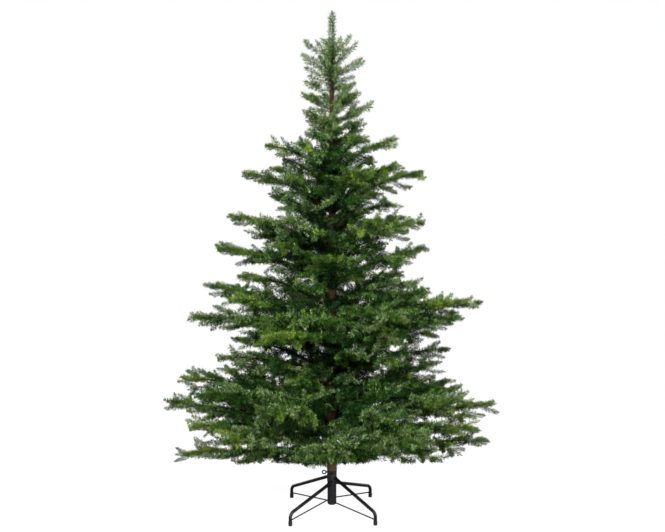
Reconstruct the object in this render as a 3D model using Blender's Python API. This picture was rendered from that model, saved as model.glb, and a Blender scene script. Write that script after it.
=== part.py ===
"""Artificial fir Christmas tree, 2.10 m tall, standing in its four-legged steel stand.

Metres, +Z up, origin on the floor under the trunk's axis, -Y is the front.

The tree is a wrapped pole with rings of boughs. Every foliage mass is one stem with side shoots in
opposite pairs, swept forward like a fir's. A shoot is a slim three-sided core with teeth of needles
that lean towards its tip. Masses, boughs and trunk stay clear of each other by a small gap.
"""

import math
import random
from typing import NamedTuple

import bmesh
import bpy
from mathutils import Vector

# ---------------------------------------------------------------- driving dimensions (metres, degrees)
TREE_HEIGHT = 2.10
SEAT_GAP = 0.0003  # between pieces that touch
SEED = 24

# Stand
LEG_AZIMUTHS = {"front_left": 226.35, "front_right": 316.35, "back_right": 46.35, "back_left": 136.35}
UPPER_PAIR = ("front_right", "back_left")  # welded to the collar, the other two to the sleeve
FOOT_RADIUS = 0.247
LEG_TUBE = 0.0070
LEG_BEND_RADIUS = 0.026
LEG_BEND_STEPS = 5
LEG_CORNER_HEIGHT = 0.0505  # where the sloping run and the upright foot would meet
SLEEVE_LEG_HEIGHT = 0.121
COLLAR_LEG_HEIGHT = 0.148
FOOT_CAP = {"radius": 0.0083, "height": 0.019, "floor": 0.0025, "edge": 0.0008}
SLEEVE = {"outer": 0.0190, "inner": 0.0170, "bottom": 0.030, "top": 0.1310, "plug": 0.0055, "edge": 0.003}
COLLAR = {"outer": 0.0205, "top": 0.1800, "edge": 0.001}
BRACE_WIRE = 0.0024
BRACE_AT_LEG = 0.0230
BRACE_END_GAP = 0.0007  # its square end slopes towards the leg
BRACE_HEIGHT_ON_SLEEVE = 0.0555
BRACE_HEIGHT_UPPER_PAIR = 0.0410
# The clamping screw points left, with its loop in the XZ plane.
EYE_BOLT = {"height": 0.1705, "shank": 0.0030, "hole": 0.0033, "wire": 0.0027, "loop": 0.0075,
            "loop_centre": 0.0330}
ROUND_SIDES = 16
TUBE_SIDES = 10
WIRE_SIDES = 6
EYE_STEPS = 14
FRONT = Vector((0, -1, 0))

# Trunk: (height, radius). The pole runs bare inside the sleeve and wrapped above the collar.
TRUNK_WRAP_BOTTOM = COLLAR["top"] + SEAT_GAP
TRUNK_TOP = 1.560
TRUNK_PROFILE = [
    (TRUNK_WRAP_BOTTOM, 0.0212),
    (0.60, 0.0204),
    (1.22, 0.0190),
    (1.25, 0.0150),
    (TRUNK_TOP, 0.0112),
]

# Foliage stays above this height, and higher towards the front, so that the stand shows.
LOWEST_FOLIAGE = 0.225
FRONT_SLOPE = 0.31

# Shoots
LIMB_RADII = (0.0082, 0.0076, 0.0070)  # at the trunk, halfway and where the foliage starts
CORE_ROOT = 0.0070
CORE_TIP = 0.0032
STEM_TOOTH = 0.0235
STEM_BARE = 0.095  # length at the trunk with no needles
SHOOT_CORE_ROOT = 0.0050
SHOOT_TOOTH = 0.0270
SHOOT_BARE = 0.012
TOOTH_PITCH = 0.108
TOOTH_LEAN = 0.72  # how far along its pitch a tooth's tip lies
SPACE_GAP = 0.0015  # kept between the shoots of two masses
SHORTEST_SHOOT = 0.06
SHORTENINGS = (1.0, 0.8, 0.62)  # tried in turn on a side shoot that would leave its mass's space
SHOOT_START = 0.12  # share of a side shoot at its root that lies in its own stem's space
CORE_SIDES = 3
CORE_END = 0.0016
TOOTH_TAPER = 0.28  # share of its size that the last ring of teeth loses
TOOTH_TWIST = math.radians(60)  # from each ring of teeth to the next
SHORTEST_BARE = 0.004  # a shoot that is bare for less has teeth from its very root
STEM_BARE_AFTER_LIMB = 0.02
STEM_STEPS = 4
SHARP_ANGLE = math.radians(40)
NEARLY_UPRIGHT = 0.1
NEARLY_PARALLEL = 1e-12

# Boughs and their side shoots. Lengths are shares of the bough's, angles are degrees.
REACH_SPREAD = (0.985, 1.01)
BOUGH_BOW = 0.06
FIRST_PAIR = 0.24
FIRST_PAIR_AFTER_LIMB = 0.36
LAST_PAIR = 0.85
PAIR_STAGGER = 0.03
SPLAY_AT_ROOT = 52
SPLAY_DROP = 16
SPLAY_SPREAD = 5
HIGH_TILT = (12, 30)
LOW_TILT = (-14, 6)
SHOOT_LENGTH = 0.52
SHOOT_LENGTH_POWER = 0.75
SHOOT_LENGTH_LEAST = 0.07
SHOOT_BOW = 0.04
HALF_SECTOR = 50  # how far from its bough's azimuth a shoot may reach
HALF_SECTOR_CROWDED = 36
CROWDED = 6  # boughs in a crowded ring
SECTOR_TRIM = 0.92


class Ring(NamedTuple):
    """One ring of boughs round the trunk. Its right and left sides are bent by hand, so they differ."""

    root: float  # height where the boughs leave the trunk
    right: tuple[float, float]  # a tip's distance from the trunk's axis, and its height
    left: tuple[float, float]
    azimuths: tuple[float, ...]  # one bough each
    pairs: int  # pairs of side shoots on each mass
    bough: float = 0.0  # length of the bare limb before the foliage, none where it is 0
    front_lift: float = 0.0  # how much higher a bough that points to the front ends


RINGS = [
    Ring(0.268, (0.668, 0.290), (0.672, 0.272), (-8, 98, 188, 268), 4, bough=0.120, front_lift=0.115),
    Ring(0.372, (0.706, 0.462), (0.706, 0.470), (4, 60, 124, 178, 236, 298), 4),
    Ring(0.490, (0.630, 0.560), (0.670, 0.592), (-34, 40, 168, 250), 4),
    Ring(0.600, (0.500, 0.690), (0.486, 0.690), (6, 112, 196), 3),
    Ring(0.715, (0.600, 0.830), (0.596, 0.855), (20, 104, 184, 250), 4),
    Ring(0.790, (0.620, 0.906), (0.556, 0.940), (-6, 70, 166, 294), 4),
    Ring(0.970, (0.402, 1.115), (0.478, 1.135), (8, 98, 188, 268), 3),
    Ring(1.105, (0.382, 1.250), (0.436, 1.268), (-12, 74, 172, 244), 3),
    Ring(1.280, (0.384, 1.452), (0.364, 1.452), (6, 102, 182, 286), 3),
    Ring(1.430, (0.268, 1.582), (0.266, 1.576), (-8, 186), 3),
]
FRONT_SHORTENING = 0.14  # share of its reach that a lifted front bough loses

# Tree top: whorls of short shoots round a stem that carries on from the trunk to the leader.
TOP_WHORLS = [  # height, length of a shoot, count
    (1.580, 0.150, 4),
    (1.632, 0.152, 4),
    (1.690, 0.150, 4),
    (1.750, 0.142, 3),
    (1.812, 0.134, 4),
    (1.870, 0.126, 3),
    (1.920, 0.120, 4),
]
TOP_STEM_ROOT = 0.0110
TOP_STEM_BEND = 1.76
TOP_TURN = 45
TOP_TURN_SPREAD = 9
TOP_SHOOT_LIFT = 36.0
TOP_LIFT_SPREAD = 8
TOP_FOOT_SPREAD = 0.012
TOP_LENGTH_SPREAD = (0.9, 1.05)
TOP_SHOOT_CORE_ROOT = CORE_TIP + 0.0015
TOP_SHOOT_TOOTH = SHOOT_TOOTH * 0.92
TOP_SHOOT_BARE = 0.018
LEADER_TOOTH = STEM_TOOTH * 0.95
LEADER_START = 1.955


# ---------------------------------------------------------------- plain geometry
def polar(radius: float, azimuth: float, height: float) -> Vector:
    """A point by its distance from the axis, azimuth in degrees and height."""
    turn = math.radians(azimuth)
    return Vector((radius * math.cos(turn), radius * math.sin(turn), height))


def outward(azimuth: float) -> Vector:
    return polar(1.0, azimuth, 0.0)


def level_side(axis: Vector) -> Vector:
    """A unit vector square to axis, level unless axis is upright."""
    upright = axis.normalized().cross(Vector((0, 0, 1)))
    return upright.normalized() if upright.length > NEARLY_UPRIGHT else Vector((1, 0, 0))


def circle(centre: Vector, axis: Vector, side: Vector, radius: float, sides: int, turn: float = 0.0):
    """Points round centre, square to axis, the first one towards side turned by an angle."""
    across = axis.cross(side).normalized()
    flat_side = across.cross(axis).normalized()
    angles = [turn + math.tau * k / sides for k in range(sides)]
    return [centre + radius * (math.cos(a) * flat_side + math.sin(a) * across) for a in angles]


def mesh_from(name: str, points: list[Vector], faces: list[tuple[int, ...]]) -> bpy.types.Mesh:
    """A mesh whose faces all point out."""
    mesh = bpy.data.meshes.new(name)
    mesh.from_pydata([tuple(p) for p in points], [], faces)
    work = bmesh.new()
    work.from_mesh(mesh)
    bmesh.ops.recalc_face_normals(work, faces=work.faces)
    work.to_mesh(mesh)
    work.free()
    return mesh


def loft(name: str, rings: list[list[Vector]]) -> bpy.types.Mesh:
    """A closed body through rings of equal point counts, capped at both ends."""
    sides = len(rings[0])
    points = [p for ring in rings for p in ring]
    faces: list[tuple[int, ...]] = [tuple(range(sides))]
    for level in range(len(rings) - 1):
        low, high = level * sides, (level + 1) * sides
        for k in range(sides):
            n = (k + 1) % sides
            faces.append((low + k, low + n, high + k))
            faces.append((low + n, high + n, high + k))
    faces.append(tuple(range((len(rings) - 1) * sides, len(rings) * sides)))
    return mesh_from(name, points, faces)


def turned(name: str, profile: list[tuple[float, float]], sides: int) -> bpy.types.Mesh:
    """A body turned about Z from (radius, height) points. A radius of 0 is a point on the axis."""
    points: list[Vector] = []
    rows = []
    for radius, height in profile:
        if radius == 0:
            points.append(Vector((0, 0, height)))
            rows.append([len(points) - 1] * sides)
            continue
        rows.append(list(range(len(points), len(points) + sides)))
        points += [polar(radius, 360 * k / sides, height) for k in range(sides)]
    closed = profile[0][0] != 0
    faces = []
    for a, b in zip(rows, rows[1:] + (rows[:1] if closed else [])):
        for k in range(sides):
            n = (k + 1) % sides
            face = dict.fromkeys((a[k], a[n], b[n], b[k]))
            if len(face) > 2:
                faces.append(tuple(face))
    return mesh_from(name, points, faces)


def add_part(mesh: bpy.types.Mesh, material: bpy.types.Material, smooth: bool = True) -> bpy.types.Object:
    """One named part of the tree."""
    obj = bpy.data.objects.new(mesh.name, mesh)
    bpy.context.scene.collection.objects.link(obj)
    mesh.materials.append(material)
    if smooth:
        mesh.shade_smooth()
        mesh.set_sharp_from_angle(angle=SHARP_ANGLE)
    return obj


def boolean(base: bpy.types.Object, others: list[bpy.types.Object], operation: str) -> None:
    """Joins others to base, or cuts them from it, and removes them."""
    group = bpy.data.collections.new("boolean")
    for other in others:
        bpy.context.scene.collection.objects.unlink(other)
        group.objects.link(other)
    modifier = base.modifiers.new(operation, "BOOLEAN")
    modifier.operation = operation
    modifier.operand_type = "COLLECTION"
    modifier.collection = group
    modifier.solver = "EXACT"
    graph = bpy.context.evaluated_depsgraph_get()
    result = bpy.data.meshes.new_from_object(base.evaluated_get(graph))
    base.modifiers.clear()
    old = base.data
    result.name = base.name
    base.data = result
    bpy.data.meshes.remove(old)
    for other in others:
        bpy.data.meshes.remove(other.data)
    bpy.data.collections.remove(group)


def material(name: str, colour: tuple[float, float, float], roughness: float, metallic: float = 0.0):
    made = bpy.data.materials.new(name)
    made.use_nodes = True
    shader = made.node_tree.nodes["Principled BSDF"]
    shader.inputs["Base Color"].default_value = (*colour, 1.0)
    shader.inputs["Roughness"].default_value = roughness
    shader.inputs["Metallic"].default_value = metallic
    made.diffuse_color = (*colour, 1.0)
    return made


# ---------------------------------------------------------------- stand
def leg_path(height: float, start_radius: float) -> list[Vector]:
    """The leg's centre line in the XZ plane: down the slope, round the bend, down to the foot."""
    start = Vector((start_radius + SEAT_GAP, 0, height))
    slope = math.atan2(height - LEG_CORNER_HEIGHT, FOOT_RADIUS - start.x)
    drop = LEG_BEND_RADIUS * math.tan((math.pi / 2 - slope) / 2)
    centre = Vector((FOOT_RADIUS - LEG_BEND_RADIUS, 0, LEG_CORNER_HEIGHT - drop))
    points = [start]
    for k in range(LEG_BEND_STEPS + 1):
        angle = slope + (math.pi / 2 - slope) * k / LEG_BEND_STEPS
        points.append(centre + LEG_BEND_RADIUS * Vector((math.sin(angle), 0, math.cos(angle))))
    points.append(Vector((FOOT_RADIUS, 0, FOOT_CAP["floor"] + SEAT_GAP)))
    return points


def tube(name: str, path: list[Vector], side: Vector, radius: float, sides: int, end_axis=None):
    """A round bar along path, which lies square to side. Its first end may be cut square to end_axis."""
    rings = []
    for k, point in enumerate(path):
        axis = path[min(k + 1, len(path) - 1)] - path[max(k - 1, 0)]
        if k == 0 and end_axis:
            axis = end_axis
        rings.append(circle(point, axis, side, radius, sides))
    return loft(name, rings)


def turn_about_axis(points: list[Vector], azimuth: float) -> list[Vector]:
    turn = math.radians(azimuth)
    cos, sin = math.cos(turn), math.sin(turn)
    return [Vector((p.x * cos - p.y * sin, p.x * sin + p.y * cos, p.z))
            for p in points]


def make_leg(place: str, azimuth: float, black, rubber) -> None:
    """One bent leg with its foot cap and the wire that braces it to the foot of the sleeve."""
    on_collar = place in UPPER_PAIR
    height = COLLAR_LEG_HEIGHT if on_collar else SLEEVE_LEG_HEIGHT
    radius = COLLAR["outer"] if on_collar else SLEEVE["outer"]
    path = turn_about_axis(leg_path(height, radius), azimuth)
    out, side = outward(azimuth), outward(azimuth + 90)
    add_part(tube(f"stand_leg_{place}", path, side, LEG_TUBE, TUBE_SIDES, out), black)

    inner = LEG_TUBE + SEAT_GAP
    cap = turned(f"foot_cap_{place}", [
        (0, 0),
        (FOOT_CAP["radius"], 0),
        (FOOT_CAP["radius"], FOOT_CAP["height"] - FOOT_CAP["edge"]),
        (FOOT_CAP["radius"] - FOOT_CAP["edge"], FOOT_CAP["height"]),
        (inner, FOOT_CAP["height"]),
        (inner, FOOT_CAP["floor"]),
        (0, FOOT_CAP["floor"]),
    ], TUBE_SIDES)
    foot = add_part(cap, rubber)
    foot.location = polar(FOOT_RADIUS, azimuth, 0)
    foot.rotation_euler.z = math.radians(azimuth + 90)  # its facets in line with the leg's

    at_sleeve = BRACE_HEIGHT_UPPER_PAIR if on_collar else BRACE_HEIGHT_ON_SLEEVE
    ends = [polar(SLEEVE["outer"] + SEAT_GAP, azimuth, at_sleeve),
            polar(FOOT_RADIUS - LEG_TUBE - BRACE_END_GAP, azimuth, BRACE_AT_LEG)]
    add_part(tube(f"leg_brace_{place}", ends, side, BRACE_WIRE, WIRE_SIDES, out), black)


def make_stand(black, rubber, zinc) -> None:
    sleeve = turned("stand_sleeve", [
        (0, SLEEVE["bottom"]),
        (SLEEVE["outer"] - SLEEVE["edge"], SLEEVE["bottom"]),
        (SLEEVE["outer"], SLEEVE["bottom"] + SLEEVE["edge"]),
        (SLEEVE["outer"], SLEEVE["top"]),
        (SLEEVE["inner"], SLEEVE["top"]),
        (SLEEVE["inner"], SLEEVE["bottom"] + SLEEVE["plug"]),
        (0, SLEEVE["bottom"] + SLEEVE["plug"]),
    ], ROUND_SIDES)
    add_part(sleeve, black)

    bottom = SLEEVE["top"] + SEAT_GAP
    collar = add_part(turned("stand_collar", [
        (SLEEVE["inner"], bottom),
        (COLLAR["outer"], bottom),
        (COLLAR["outer"], COLLAR["top"] - COLLAR["edge"]),
        (COLLAR["outer"] - COLLAR["edge"], COLLAR["top"]),
        (SLEEVE["inner"], COLLAR["top"]),
    ], ROUND_SIDES), black)
    hole = tube("screw_hole", [screw_point(0.5 * SLEEVE["inner"]), screw_point(1.5 * COLLAR["outer"])],
                FRONT, EYE_BOLT["hole"], TUBE_SIDES)
    boolean(collar, [add_part(hole, black)], "DIFFERENCE")
    make_eye_bolt(zinc)
    for place, azimuth in LEG_AZIMUTHS.items():
        make_leg(place, azimuth, black, rubber)


def screw_point(distance: float) -> Vector:
    """A point on the clamping screw's axis."""
    return Vector((-distance, 0, EYE_BOLT["height"]))


def make_eye_bolt(zinc) -> None:
    """The clamping screw: a shank through the collar's wall, and a loop to turn it by."""
    centre = screw_point(EYE_BOLT["loop_centre"])
    shank_end = screw_point(EYE_BOLT["loop_centre"] - EYE_BOLT["loop"] + EYE_BOLT["wire"] / 2)
    shank = tube("eye_bolt", [screw_point(trunk_bare_radius() + SEAT_GAP), shank_end],
                 FRONT, EYE_BOLT["shank"], TUBE_SIDES)
    bolt = add_part(shank, zinc)
    points = []
    for k in range(EYE_STEPS):
        angle = math.tau * (k + 0.5) / EYE_STEPS
        spoke = Vector((math.cos(angle), 0, math.sin(angle)))
        points += circle(centre + spoke * EYE_BOLT["loop"], spoke.cross(FRONT), FRONT, EYE_BOLT["wire"],
                         WIRE_SIDES)
    faces = []
    for k in range(EYE_STEPS):
        ring, following = k * WIRE_SIDES, (k + 1) % EYE_STEPS * WIRE_SIDES
        for j in range(WIRE_SIDES):
            n = (j + 1) % WIRE_SIDES
            faces.append((ring + j, ring + n, following + n, following + j))
    boolean(bolt, [add_part(mesh_from("eye_loop", points, faces), zinc)], "UNION")


# ---------------------------------------------------------------- trunk
def trunk_bare_radius() -> float:
    return SLEEVE["inner"] - SEAT_GAP


def trunk_radius(height: float) -> float:
    """The wrapped trunk's radius at a height."""
    for (low, r_low), (high, r_high) in zip(TRUNK_PROFILE, TRUNK_PROFILE[1:]):
        if height <= high:
            share = max(0.0, (height - low) / (high - low))
            return r_low + (r_high - r_low) * share
    return TRUNK_PROFILE[-1][1]


def make_trunk(bark) -> None:
    bare = trunk_bare_radius()
    profile = [(0.0, SLEEVE["bottom"] + SLEEVE["plug"] + SEAT_GAP),
               (bare, SLEEVE["bottom"] + SLEEVE["plug"] + SEAT_GAP),
               (bare, TRUNK_WRAP_BOTTOM)]
    profile += [(radius, height) for height, radius in TRUNK_PROFILE]
    profile.append((0.0, TRUNK_TOP))
    add_part(turned("trunk", profile, ROUND_SIDES), bark)


# ---------------------------------------------------------------- growth rule
class Shoot(NamedTuple):
    """A limb with needles: its centre line, and where along it the needles start."""

    path: list[Vector]
    core: tuple[float, float]
    tooth: float
    bare: float  # length at the root with no teeth
    root_axis: Vector | None = None  # the root's end face, where it isn't square to the path


def gap_between(a0: Vector, a1: Vector, b0: Vector, b1: Vector) -> float:
    """The least distance between two straight stretches."""
    u, v, w = a1 - a0, b1 - b0, a0 - b0
    a, b, c, d, e = u.dot(u), u.dot(v), v.dot(v), u.dot(w), v.dot(w)
    square = a * c - b * b
    s = min(1.0, max(0.0, (b * e - c * d) / square)) if square > NEARLY_PARALLEL else 0.0
    t = (b * s + e) / c
    if t < 0.0:
        t, s = 0.0, min(1.0, max(0.0, -d / a))
    elif t > 1.0:
        t, s = 1.0, min(1.0, max(0.0, (b - d) / a))
    return (w + u * s - v * t).length


class Spaces:
    """The stretches that each mass and limb already fills, so that no two masses meet."""

    def __init__(self) -> None:
        self.taken: list[tuple[str, Vector, Vector, float]] = []

    def add(self, owner: str, path: list[Vector], radius: float) -> None:
        for start, end in zip(path, path[1:]):
            self.taken.append((owner, start, end, radius))

    def free(self, owner: str, path: list[Vector], radius: float) -> bool:
        for start, end in zip(path, path[1:]):
            for other, other_start, other_end, other_radius in self.taken:
                if other == owner:
                    continue
                if gap_between(start, end, other_start, other_end) < radius + other_radius + SPACE_GAP:
                    return False
        return True

    def fit(self, owner: str, line: list[Vector]) -> list[Vector] | None:
        """The line, shortened as far as it takes to stay in its own space, or None if that leaves nothing."""
        root = line[0]
        for share in SHORTENINGS:
            path = [root + (p - root) * share for p in line]
            if (path[-1] - root).length < SHORTEST_SHOOT:
                return None
            outer = [root.lerp(path[-1], SHOOT_START)] + path[1:]
            if self.free(owner, outer, SHOOT_TOOTH):
                self.add(owner, outer, SHOOT_TOOTH)
                return path
        return None


class Bough(NamedTuple):
    """The line of one bough from the trunk to its tip, bowed up a little."""

    azimuth: float
    root: float
    reach: float
    tip: float
    bow: float

    def point(self, share: float) -> Vector:
        start = trunk_radius(self.root) + SEAT_GAP
        height = self.root + (self.tip - self.root) * share + self.bow * share * (1 - share)
        return polar(start + (self.reach - start) * share, self.azimuth, height)


def lowest_foliage(place: Vector) -> float:
    return LOWEST_FOLIAGE + FRONT_SLOPE * max(0.0, -place.y)


def make_bough(ring: Ring, azimuth: float, draw: random.Random) -> Bough:
    """A ring's bough at an azimuth, its size between the ring's right and left ones."""
    side = (1 + math.cos(math.radians(azimuth))) / 2
    reach = ring.left[0] + (ring.right[0] - ring.left[0]) * side
    tip = ring.left[1] + (ring.right[1] - ring.left[1]) * side
    front = max(0.0, -math.sin(math.radians(azimuth)))
    tip += ring.front_lift * front
    if ring.front_lift:
        reach *= 1 - FRONT_SHORTENING * front
    return Bough(azimuth, ring.root, reach * draw.uniform(*REACH_SPREAD), tip, BOUGH_BOW * reach)


def side_shoots(bough: Bough, ring: Ring, draw: random.Random) -> list[list[Vector]]:
    """Opposite pairs of shoots along a bough, longest near the trunk, as (root, middle, tip) lines."""
    lines = []
    half_sector = HALF_SECTOR if len(ring.azimuths) < CROWDED else HALF_SECTOR_CROWDED
    length = bough.reach - trunk_radius(bough.root)
    first = FIRST_PAIR_AFTER_LIMB if ring.bough else FIRST_PAIR
    for pair in range(ring.pairs):
        share = first + (LAST_PAIR - first) * pair / (ring.pairs - 1)
        for side in (-1, 1):
            along = share + PAIR_STAGGER * side
            root = bough.point(along)
            swing = SPLAY_AT_ROOT - SPLAY_DROP * share + draw.uniform(-SPLAY_SPREAD, SPLAY_SPREAD)
            splay = math.radians(bough.azimuth + side * swing)
            tilt = math.radians(draw.uniform(*(HIGH_TILT if (pair + (side > 0)) % 2 else LOW_TILT)))
            way = Vector((math.cos(splay) * math.cos(tilt), math.sin(splay) * math.cos(tilt), math.sin(tilt)))
            size = length * (SHOOT_LENGTH * (1 - along) ** SHOOT_LENGTH_POWER + SHOOT_LENGTH_LEAST)
            while size > SHORTEST_SHOOT and off_sector(root + way * size, bough.azimuth) > half_sector:
                size *= SECTOR_TRIM
            tip = root + way * size
            tip.z = max(tip.z, lowest_foliage(tip))
            middle = (root + tip) / 2 + Vector((0, 0, SHOOT_BOW * size))
            lines.append([root, middle, tip])
    return lines


def off_sector(place: Vector, azimuth: float) -> float:
    """How far a point's azimuth lies from another, in degrees."""
    off = math.degrees(math.atan2(place.y, place.x)) - azimuth
    return abs((off + 180) % 360 - 180)


class Grown(NamedTuple):
    """A bough's lines: its bare limb, the stem of its mass and the side shoots."""

    bough: Bough
    limb: list[Vector]
    stem: list[Vector]
    sides: list[list[Vector]]


def grow_ring(ring: Ring, number: int, draw: random.Random) -> dict[str, Grown]:
    grown = {}
    for k, azimuth in enumerate(ring.azimuths, start=1):
        bough = make_bough(ring, azimuth, draw)
        start = ring.bough / (bough.reach - trunk_radius(ring.root))
        steps = len(LIMB_RADII) - 1
        limb = [bough.point(start * i / steps) for i in range(steps + 1)] if ring.bough else []
        stem = [bough.point(start + (1 - start) * i / STEM_STEPS) for i in range(STEM_STEPS + 1)]
        grown[f"{number}_{k}"] = Grown(bough, limb, stem, side_shoots(bough, ring, draw))
    return grown


def grow_top(draw: random.Random) -> list[Shoot]:
    """The tree top: its stem, the leader and the whorls of short shoots."""
    root = Vector((0, 0, TRUNK_TOP + SEAT_GAP))
    start = Vector((0, 0, LEADER_START))
    stem = [root, Vector((0, 0, TOP_STEM_BEND)), start, Vector((0, 0, TREE_HEIGHT))]
    shoots = [Shoot(stem, (TOP_STEM_ROOT, CORE_TIP), LEADER_TOOTH, LEADER_START - root.z)]
    for row, (height, length, count) in enumerate(TOP_WHORLS):
        for k in range(count):
            azimuth = 360 * k / count + TOP_TURN * (row % 2) + draw.uniform(-TOP_TURN_SPREAD, TOP_TURN_SPREAD)
            lift = math.radians(TOP_SHOOT_LIFT + draw.uniform(-TOP_LIFT_SPREAD, TOP_LIFT_SPREAD))
            way = outward(azimuth) * math.cos(lift) + Vector((0, 0, math.sin(lift)))
            foot = Vector((0, 0, height + draw.uniform(-TOP_FOOT_SPREAD, TOP_FOOT_SPREAD)))
            tip = foot + way * length * draw.uniform(*TOP_LENGTH_SPREAD)
            shoots.append(Shoot([foot, (foot + tip) / 2, tip], (TOP_SHOOT_CORE_ROOT, CORE_TIP),
                                TOP_SHOOT_TOOTH, TOP_SHOOT_BARE))
    return shoots


# ---------------------------------------------------------------- foliage solids
def along_path(path: list[Vector], distance: float) -> Vector:
    """The point that far along a broken line."""
    for start, end in zip(path, path[1:]):
        stretch = (end - start).length
        if distance <= stretch:
            return start.lerp(end, distance / stretch)
        distance -= stretch
    return path[-1]


def shoot_mesh(shoot: Shoot) -> bpy.types.Mesh:
    """A slim core with rings of teeth that lean to the tip, each ring turned half a tooth from the last."""
    whole = sum((b - a).length for a, b in zip(shoot.path, shoot.path[1:]))
    axis = shoot.path[-1] - shoot.path[0]
    side = level_side(axis)
    teeth = max(2, round((whole - shoot.bare) / TOOTH_PITCH))
    pitch = (whole - shoot.bare) / teeth
    levels = [(0.0, shoot.core[0], 0)]
    for k in range(teeth):
        at = shoot.bare + k * pitch
        share = at / whole
        core = shoot.core[0] + (shoot.core[1] - shoot.core[0]) * share
        if at > SHORTEST_BARE:
            levels.append((at, core, k))
        levels.append((at + TOOTH_LEAN * pitch, shoot.tooth * (1 - TOOTH_TAPER * (k + 1) / teeth), k))
    levels.append((whole, CORE_END, teeth))
    rings = []
    for level, (distance, radius, twist) in enumerate(levels):
        across = shoot.root_axis if level == 0 and shoot.root_axis else axis
        centre = along_path(shoot.path, distance)
        rings.append(circle(centre, across, side, radius, CORE_SIDES, TOOTH_TWIST * twist))
    return loft("shoot", rings)


def join_shoots(name: str, shoots: list[Shoot], green) -> None:
    """One mass: its stem with every shoot fused on."""
    parts = [add_part(shoot_mesh(shoot), green, smooth=False) for shoot in shoots]
    base = parts[0]
    base.name = name
    base.data.name = name
    boolean(base, parts[1:], "UNION")


def make_crown(bark, green) -> None:
    """Every bough and mass. Stems take their space first, so no side shoot grows into another bough."""
    draw = random.Random(SEED)
    spaces = Spaces()
    spaces.add("trunk", [Vector((0, 0, TRUNK_WRAP_BOTTOM)), Vector((0, 0, TRUNK_TOP))], TRUNK_PROFILE[0][1])
    grown: dict[str, Grown] = {}
    for number, ring in enumerate(RINGS, start=1):
        grown.update(grow_ring(ring, number, draw))
    top = grow_top(draw)
    for shoot in top:
        spaces.add("top", shoot.path, shoot.tooth)
    for name, part in grown.items():
        spaces.add(name, part.limb, CORE_ROOT)
        spaces.add(name, part.stem, STEM_TOOTH)
    for name, part in grown.items():
        facing = outward(part.bough.azimuth)
        stem, bare = part.stem, STEM_BARE
        if part.limb:
            side = outward(part.bough.azimuth + 90)
            rings = [circle(point, facing, side, radius, WIRE_SIDES)
                     for point, radius in zip(part.limb, LIMB_RADII)]
            add_part(loft(f"bough_{name}", rings), bark)
            stem = [stem[0] + facing * SEAT_GAP] + stem[1:]
            bare = STEM_BARE_AFTER_LIMB
        shoots = [Shoot(stem, (CORE_ROOT, CORE_TIP), STEM_TOOTH, bare, facing)]
        for line in part.sides:
            fitted = spaces.fit(name, line)
            if fitted:
                shoots.append(Shoot(fitted, (SHOOT_CORE_ROOT, CORE_TIP), SHOOT_TOOTH, SHOOT_BARE))
        join_shoots(f"foliage_{name}", shoots, green)
    join_shoots("foliage_top", top, green)


def main() -> None:
    for obj in list(bpy.data.objects):
        bpy.data.objects.remove(obj)
    black = material("stand_enamel", (0.03, 0.03, 0.035), 0.42, 0.2)
    rubber = material("foot_rubber", (0.02, 0.02, 0.02), 0.8)
    zinc = material("bolt_steel", (0.12, 0.12, 0.13), 0.4, 0.8)
    bark = material("bark_wrap", (0.15, 0.09, 0.05), 0.85)
    green = material("needles", (0.07, 0.16, 0.05), 0.6)
    make_stand(black, rubber, zinc)
    make_trunk(bark)
    make_crown(bark, green)


main()
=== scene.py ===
"""The looks of an artificial fir tree in its metal stand: foliage, wrapped trunk, stand, floor and light.

Metres, +Z up, -Y towards the front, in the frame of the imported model.
"""

import logging
import math
import random
from dataclasses import dataclass, field, replace
from enum import Enum

import bpy
import numpy as np
from bpy.types import ID, Material, Mesh, NodeSocket, Object
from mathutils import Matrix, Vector


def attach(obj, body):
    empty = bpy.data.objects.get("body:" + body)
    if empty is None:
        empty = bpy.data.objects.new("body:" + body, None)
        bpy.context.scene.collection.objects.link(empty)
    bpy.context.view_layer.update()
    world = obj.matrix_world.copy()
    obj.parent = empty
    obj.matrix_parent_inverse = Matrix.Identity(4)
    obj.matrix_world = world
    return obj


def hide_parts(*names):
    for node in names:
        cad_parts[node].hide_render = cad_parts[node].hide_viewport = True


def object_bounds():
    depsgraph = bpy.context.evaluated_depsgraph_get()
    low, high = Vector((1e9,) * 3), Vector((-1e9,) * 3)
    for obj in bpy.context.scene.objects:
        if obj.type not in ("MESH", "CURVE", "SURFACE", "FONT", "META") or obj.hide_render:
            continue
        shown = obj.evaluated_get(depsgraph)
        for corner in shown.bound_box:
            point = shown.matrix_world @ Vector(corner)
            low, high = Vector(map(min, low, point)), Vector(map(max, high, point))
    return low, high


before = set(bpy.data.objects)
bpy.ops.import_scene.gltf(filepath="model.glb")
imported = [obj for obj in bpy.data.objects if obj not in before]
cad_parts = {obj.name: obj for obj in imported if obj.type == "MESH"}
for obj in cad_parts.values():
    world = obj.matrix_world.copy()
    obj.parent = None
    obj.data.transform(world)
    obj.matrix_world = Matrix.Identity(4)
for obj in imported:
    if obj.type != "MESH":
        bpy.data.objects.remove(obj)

CAD_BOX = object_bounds()
LOG = logging.getLogger("tree")
Colour = tuple[float, float, float]
Span = tuple[float, float]
Array = np.ndarray
UP = Vector((0, 0, 1))


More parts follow.
